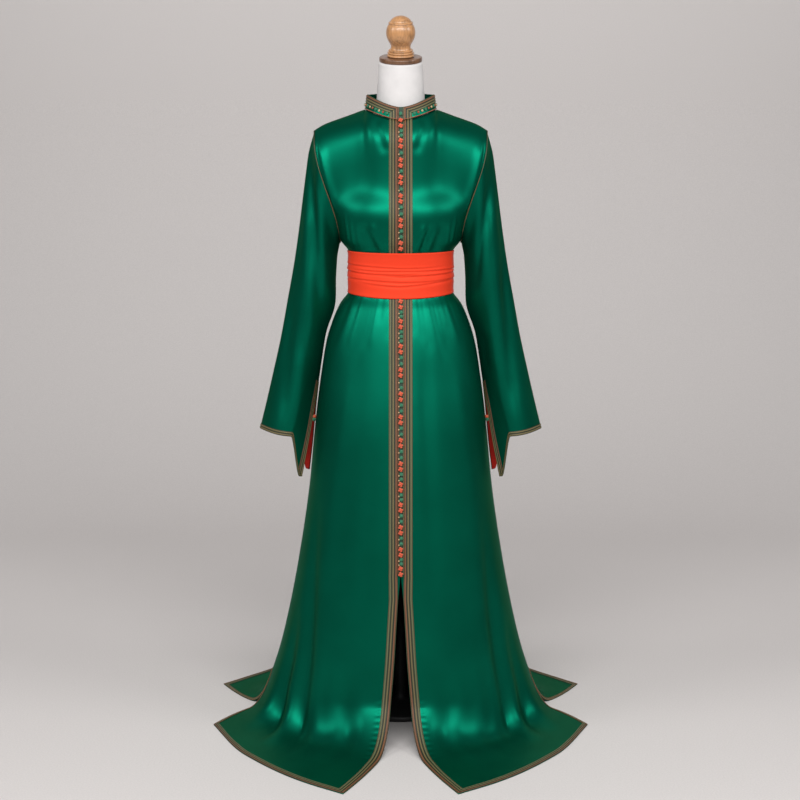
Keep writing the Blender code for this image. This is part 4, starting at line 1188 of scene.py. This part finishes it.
def tape(name, top, bottom):
    """Strip under the knots with a thin cord along each side."""
    zs = np.linspace(top, bottom, max(int((top - bottom) / 0.004), 8))
    across = np.linspace(0.0, 0.0140, 21)
    grid = np.zeros((len(zs), 21, 3))
    norm = np.zeros_like(grid)
    for r, z in enumerate(zs):
        point, n, _ = on_centre(z)
        grid[r] = point + X_AXIS * (across - 0.0070)[:, None] * 0.96
        norm[r] = n
    wide = np.broadcast_to(across, grid.shape[:2])
    along = np.broadcast_to((top - zs)[:, None], grid.shape[:2])
    return band(name, grid, norm, wide, along, 0.0140, (0.055, 0.945), 0.0010, 0.0008, 0.0001)


def bead_strip(row):
    """Small green knots with cream dots beside them, between two buttons of one row."""
    knots = []
    dots = []
    for high, low in zip(row[:-1], row[1:]):
        span = high - low - 0.0250
        count = max(int(round(span / 0.0120)), 1)
        for k in range(count):
            z = high - 0.0125 - span * (k + 0.5) / count
            point, norm, down = on_centre(z)
            frame_axes = (X_AXIS, down, norm)
            knots.append((point + norm * 0.0036 + X_AXIS * 0.0014, frame_axes, (0.0043, 0.0046, 0.0030)))
            middle = point + norm * 0.0032 - X_AXIS * 0.0040 + down * 0.0030
            dots.append((middle, frame_axes, (0.0019, 0.0021, 0.0018)))
    return knots, dots


number = 0
for label, row, (top, bottom) in zip(("upper", "lower"), BUTTONS, TAPES):
    add_piece("tape_" + label, tape("tape_" + label, top, bottom),
              tape_cloth, "green_cord", "loop_tape_" + label)
    knots, dots = bead_strip(row)
    add_piece("green_knots_" + label, balls("knots_green_" + label, knots), green_silk, "green_cord")
    add_piece("cream_dots_" + label, balls("dots_cream_" + label, dots), cream_silk, "gold_braid")
    for z in row:
        number += 1
        tag = "%02d" % number
        add_piece("button_" + tag, button("knot_" + tag, z), coral_silk, "coral_silk", "button_" + tag)


def collar_beads():
    """Beads between the collar's two braids: green knots, cream beads and rust ones."""
    groups = {"green": [], "cream": [], "rust": []}
    pattern = ("green", "rust", "cream", "green", "rust", "cream")
    level = 6
    line = collar[level]
    run = run_of(line)
    for flip in (False, True):
        place = COLLAR_EDGE + BRAID_WIDE + 0.0060
        k = 0
        while place < run[-1] / 2:
            kind = pattern[k % len(pattern)]
            at = run[-1] - place if flip else place
            p = np.array([np.interp(at, run, line[:, c]) for c in range(3)])
            n = unit(np.array([np.interp(at, run, n_collar[level][:, c]) for c in range(3)]))
            side = unit(np.cross(n, np.array([0.0, 0.0, 1.0])))
            up = np.cross(side, n)
            size = 0.0036 if kind == "green" else 0.0029
            groups[kind].append((p + n * 0.0020, (side, up, n), (size, size * 1.05, size * 0.65)))
            place += 0.0105
            k += 1
    return groups


for label, spots in collar_beads().items():
    mat = {"green": green_silk, "cream": cream_silk, "rust": rust_silk}[label]
    slot = {"green": "green_cord", "cream": "gold_braid", "rust": "rust_piping"}[label]
    add_piece("collar_" + label, balls("beads_collar_" + label, spots), mat, slot)


def slit_beads(side):
    """Two small knots on the front edge near the top of the sleeve's slit."""
    grid, norm = surface["sleeve_" + side]
    toward = X_AXIS if side == "left" else -X_AXIS
    for label, z, mat, slot in (
            ("coral", 0.7235, coral_silk, "coral_silk"), ("green", 0.7140, green_silk, "green_cord")):
        row = int(np.argmin(np.abs(grid[SLIT_INDEX:, 0, 2] - z))) + SLIT_INDEX
        n = norm[row, 0]
        cross = unit(np.cross(n, np.array([0.0, 0.0, 1.0])))
        axes = (cross, np.cross(cross, n), n)
        spot = grid[row, 0] + toward * 0.0040 + n * 0.0010
        name = "bead_%s_%s" % (label, side)
        add_piece(name, balls(name, [(spot, axes, (0.0052, 0.0046, 0.0042))]), mat, slot)


slit_beads("left")
slit_beads("right")


def collar_closing():
    """Tape and one green knot where the collar's ends meet."""
    line = (collar[:, 0] + collar[:, -1]) / 2
    flat = unit((n_collar[:, 0] + n_collar[:, -1]) * np.array([0.0, 1.0, 1.0]))
    across = np.linspace(0.0, 0.0130, 15)
    grid = line[::-1][:, None] + X_AXIS * (across - 0.0065)[None, :, None]
    norm = np.broadcast_to(flat[::-1][:, None], grid.shape)
    wide = np.broadcast_to(across * 0.0140 / 0.0130, grid.shape[:2])
    along = np.broadcast_to(run_of(line)[:, None], grid.shape[:2])
    obj = band("tape_collar", grid, norm, wide, along, 0.0140, (0.055, 0.945), 0.0010, 0.0008, 0.0003)
    add_piece("tape_collar", obj, tape_cloth, "green_cord")
    n = flat[9]
    axes = (X_AXIS, np.cross(X_AXIS, n), n)
    knot = balls("knot_collar", [(line[9] + n * 0.0040, axes, (0.0040, 0.0048, 0.0030))])
    add_piece("collar_knot", knot, green_silk, "green_cord")


collar_closing()

# ---------------------------------------------------------------- belt
# folds along the belt: height on it (0 top, 1 bottom) at the front, change of height to the
# sides, angles between which it shows, depth
BELT_FOLDS = (
    (0.345, -0.030, -150, 60, 0.0012),
    (0.400, 0.040, -70, 175, 0.0015),
    (0.500, -0.050, -180, 40, 0.0018),
    (0.545, -0.070, -30, 180, 0.0018),
    (0.650, -0.020, -120, 100, 0.0012),
    (0.735, -0.080, -60, 160, 0.0014),
)


def belt():
    """Wrapped belt: a smooth ring with soft tucks along its middle."""
    turn = np.radians(np.linspace(0.0, 360.0, 241)[:-1])
    v = np.linspace(0.0, 1.0, 66)
    rows = []
    for f in v:
        z = BELT_TOP + f * (BELT_BOTTOM - BELT_TOP)
        front = section(z, True, ())
        back = section(z, False, ())
        ring = np.vstack([front, back[::-1], mirror(back)[1:], mirror(front)[::-1][1:]])
        run = run_of(ring)
        rows.append(at_length(ring, turn / (2 * math.pi) * run[-1]))
    grid = relax(np.array(rows), 8)
    norm = normals(grid, 1.0, True)
    if norm[30, 0, 1] > 0:
        norm = -norm
    norm[..., 2] = 0.0
    norm = unit(norm)
    angle = (np.degrees(turn) + 180.0) % 360.0 - 180.0
    high = np.full(grid.shape[:2], 0.0026) + 0.0014 * np.sin(math.pi * v)[:, None] ** 2
    for level, rise, a0, a1, deep in BELT_FOLDS:
        middle = (level + rise * (np.abs(angle) / 90.0)
                  + 0.012 * np.sin(np.radians(angle * 2.3) + level * 20))
        fade = smooth_step((angle - a0) / 45.0) * smooth_step((a1 - angle) / 45.0)
        off = v[:, None] - middle[None, :]
        # steep above, soft below
        wide = np.where(off < 0, 0.012, 0.040)
        high = high - deep * fade[None, :] * np.exp(-((off / wide) ** 2))
        high = high + 0.6 * deep * fade[None, :] * np.exp(-(((off + 0.030) / 0.022) ** 2))
    rim = 1.0 - 0.55 * np.exp(-((v / 0.010) ** 2)) - 0.55 * np.exp(-(((1 - v) / 0.010) ** 2))
    base = WALL / 2 + 0.0021
    return shell("belt_wrap", grid, norm, base, base + high * rim[:, None], True)


add_piece("belt", belt(), coral, "coral_belt", "belt")


# ---------------------------------------------------------------- dress form and stand
def form_body():
    rings = []
    a = np.linspace(0.0, 2 * math.pi, 96, endpoint=False)
    c, s = np.cos(a), np.sin(a)
    for z, half, front, rear, power in smooth_line(FORM, 8):
        slant = min(max((z - 1.452) / (FORM[-1][0] - 1.452), 0.0), 1.0) * math.tan(TILT)
        y = np.sign(s) * np.abs(s) ** power * np.where(s > 0, rear, front)
        x = half * np.sign(c) * np.abs(c) ** power
        rings.append(np.column_stack([x, y, z + y * slant]))
    return rings_object("form_shell", np.array(rings))


def turned(name, profile, foot, tilt, each=4):
    """Solid of revolution about a slanted axis."""
    axis = np.array([0.0, -math.sin(tilt), math.cos(tilt)])
    ahead = np.cross(axis, X_AXIS)
    a = np.linspace(0.0, 2 * math.pi, 72, endpoint=False)
    rings = []
    for radius, height in smooth_line(profile, each):
        rings.append(
            foot + axis * height + radius * (X_AXIS * np.cos(a)[:, None] + ahead * np.sin(a)[:, None]))
    return rings_object(name, np.array(rings))


seat = np.array([0.0, 0.0, FORM[-1][0] + GAP])
lift = np.array([0.0, -math.sin(TILT), math.cos(TILT)]) * (DISC[-1][1] + GAP / 2)
linen = woven("form_cloth", (0.60, 0.575, 0.565), 0.85, 260.0)
add_piece("form_body", form_body(), linen, "form_cloth", "form_body")
add_piece("neck_disc", turned("disc_top", DISC, seat, TILT),
          wood("dark_wood", (0.150, 0.070, 0.034), 0.34), "dark_wood", "neck_disc")
add_piece("finial", turned("finial_top", FINIAL, seat + lift, TILT),
          wood("light_wood", (0.430, 0.215, 0.090), 0.32), "light_wood", "finial")
stand = turned("stand_base", STAND, np.zeros(3), 0.0, 1)
# the stand is coloured near black so that it reads as the shade inside the front slit, where it shows: painted
# shade
black_paint = plain("black_paint", (0.010, 0.010, 0.010), 0.55, 300.0, 0.0002)
add_piece("stand", stand, black_paint, "black_paint", "stand")


surface["collar"] = (collar, n_collar)


for side in ("left", "right"):
    own = ["braid_front_" + side, "braid_hem_front_" + side, "braid_side_front_" + side]
    if side == "right":
        own += ["button_", "tape_upper", "tape_lower", "green_knots_", "cream_dots_"]
    own = ["braid_slit_" + side, "braid_cuff_" + side, "piping_" + side]
    own += ["bead_coral_" + side, "bead_green_" + side]
own = ("braid_collar", "collar_", "tape_collar")


# ---------------------------------------------------------------- floor, backdrop, light, camera
floor_mat = plain("floor_surface", (0.62, 0.585, 0.570), 0.9, 260.0, 0.0008, 0.05)


def sweep():
    """Floor that turns up into a backdrop."""
    bend = [(1.8 + 1.6 * math.sin(a), 1.6 - 1.6 * math.cos(a)) for a in np.linspace(0, math.pi / 2, 24)]
    line = [(-9.0, 0.0)] + bend + [(3.4, 7.0)]
    verts = [(x, y, z) for y, z in line for x in (-9.0, 9.0)]
    faces = [(2 * k, 2 * k + 1, 2 * k + 3, 2 * k + 2) for k in range(len(line) - 1)]
    return mesh_object("floor_sweep", verts, faces)


floor = sweep()
floor.data.materials.append(floor_mat)

world = bpy.data.worlds.new("studio")
bpy.context.scene.world = world
world.use_nodes = True
world.node_tree.nodes["Background"].inputs["Color"].default_value = (0.92, 0.96, 1.0, 1)
world.node_tree.nodes["Background"].inputs["Strength"].default_value = 0.13


def softbox(name, place, target, size, power, colour=(1, 1, 1)):
    light = bpy.data.lights.new(name, "AREA")
    light.shape = "RECTANGLE"
    light.size, light.size_y = size
    light.energy = power
    light.color = colour
    obj = bpy.data.objects.new(name, light)
    bpy.context.scene.collection.objects.link(obj)
    obj.location = place
    obj.rotation_euler = (Vector(target) - Vector(place)).to_track_quat("-Z", "Y").to_euler()
    return obj


softbox("key_front", (0.0, -3.1, 3.0), (0, 0, 0.95), (4.6, 1.0), 158)
softbox("overhead", (0.0, -1.0, 3.3), (0, -0.2, 0.2), (2.6, 1.6), 9)
softbox("side_left", (-3.2, -1.4, 2.9), (0, 0, 0.95), (1.6, 1.3), 40)
softbox("side_right", (3.2, -1.4, 2.9), (0, 0, 0.95), (1.6, 1.3), 40)
softbox("backdrop_light", (0.0, 1.2, 4.2), (0, 4.2, 3.1), (5.0, 1.0), 48)

cam = bpy.data.cameras.new("camera")
cam.sensor_width = 36.0
cam.lens = 1631.0 * 36.0 / 800.0
cam.clip_start = 0.05
eye = bpy.data.objects.new("camera", cam)
bpy.context.scene.collection.objects.link(eye)
eye.location = (-0.0016, -3.86, 1.328)
eye.rotation_euler = (math.radians(90.0 - 8.4), 0.0, 0.0)
bpy.context.scene.camera = eye
bpy.context.scene.view_settings.view_transform = "Standard"
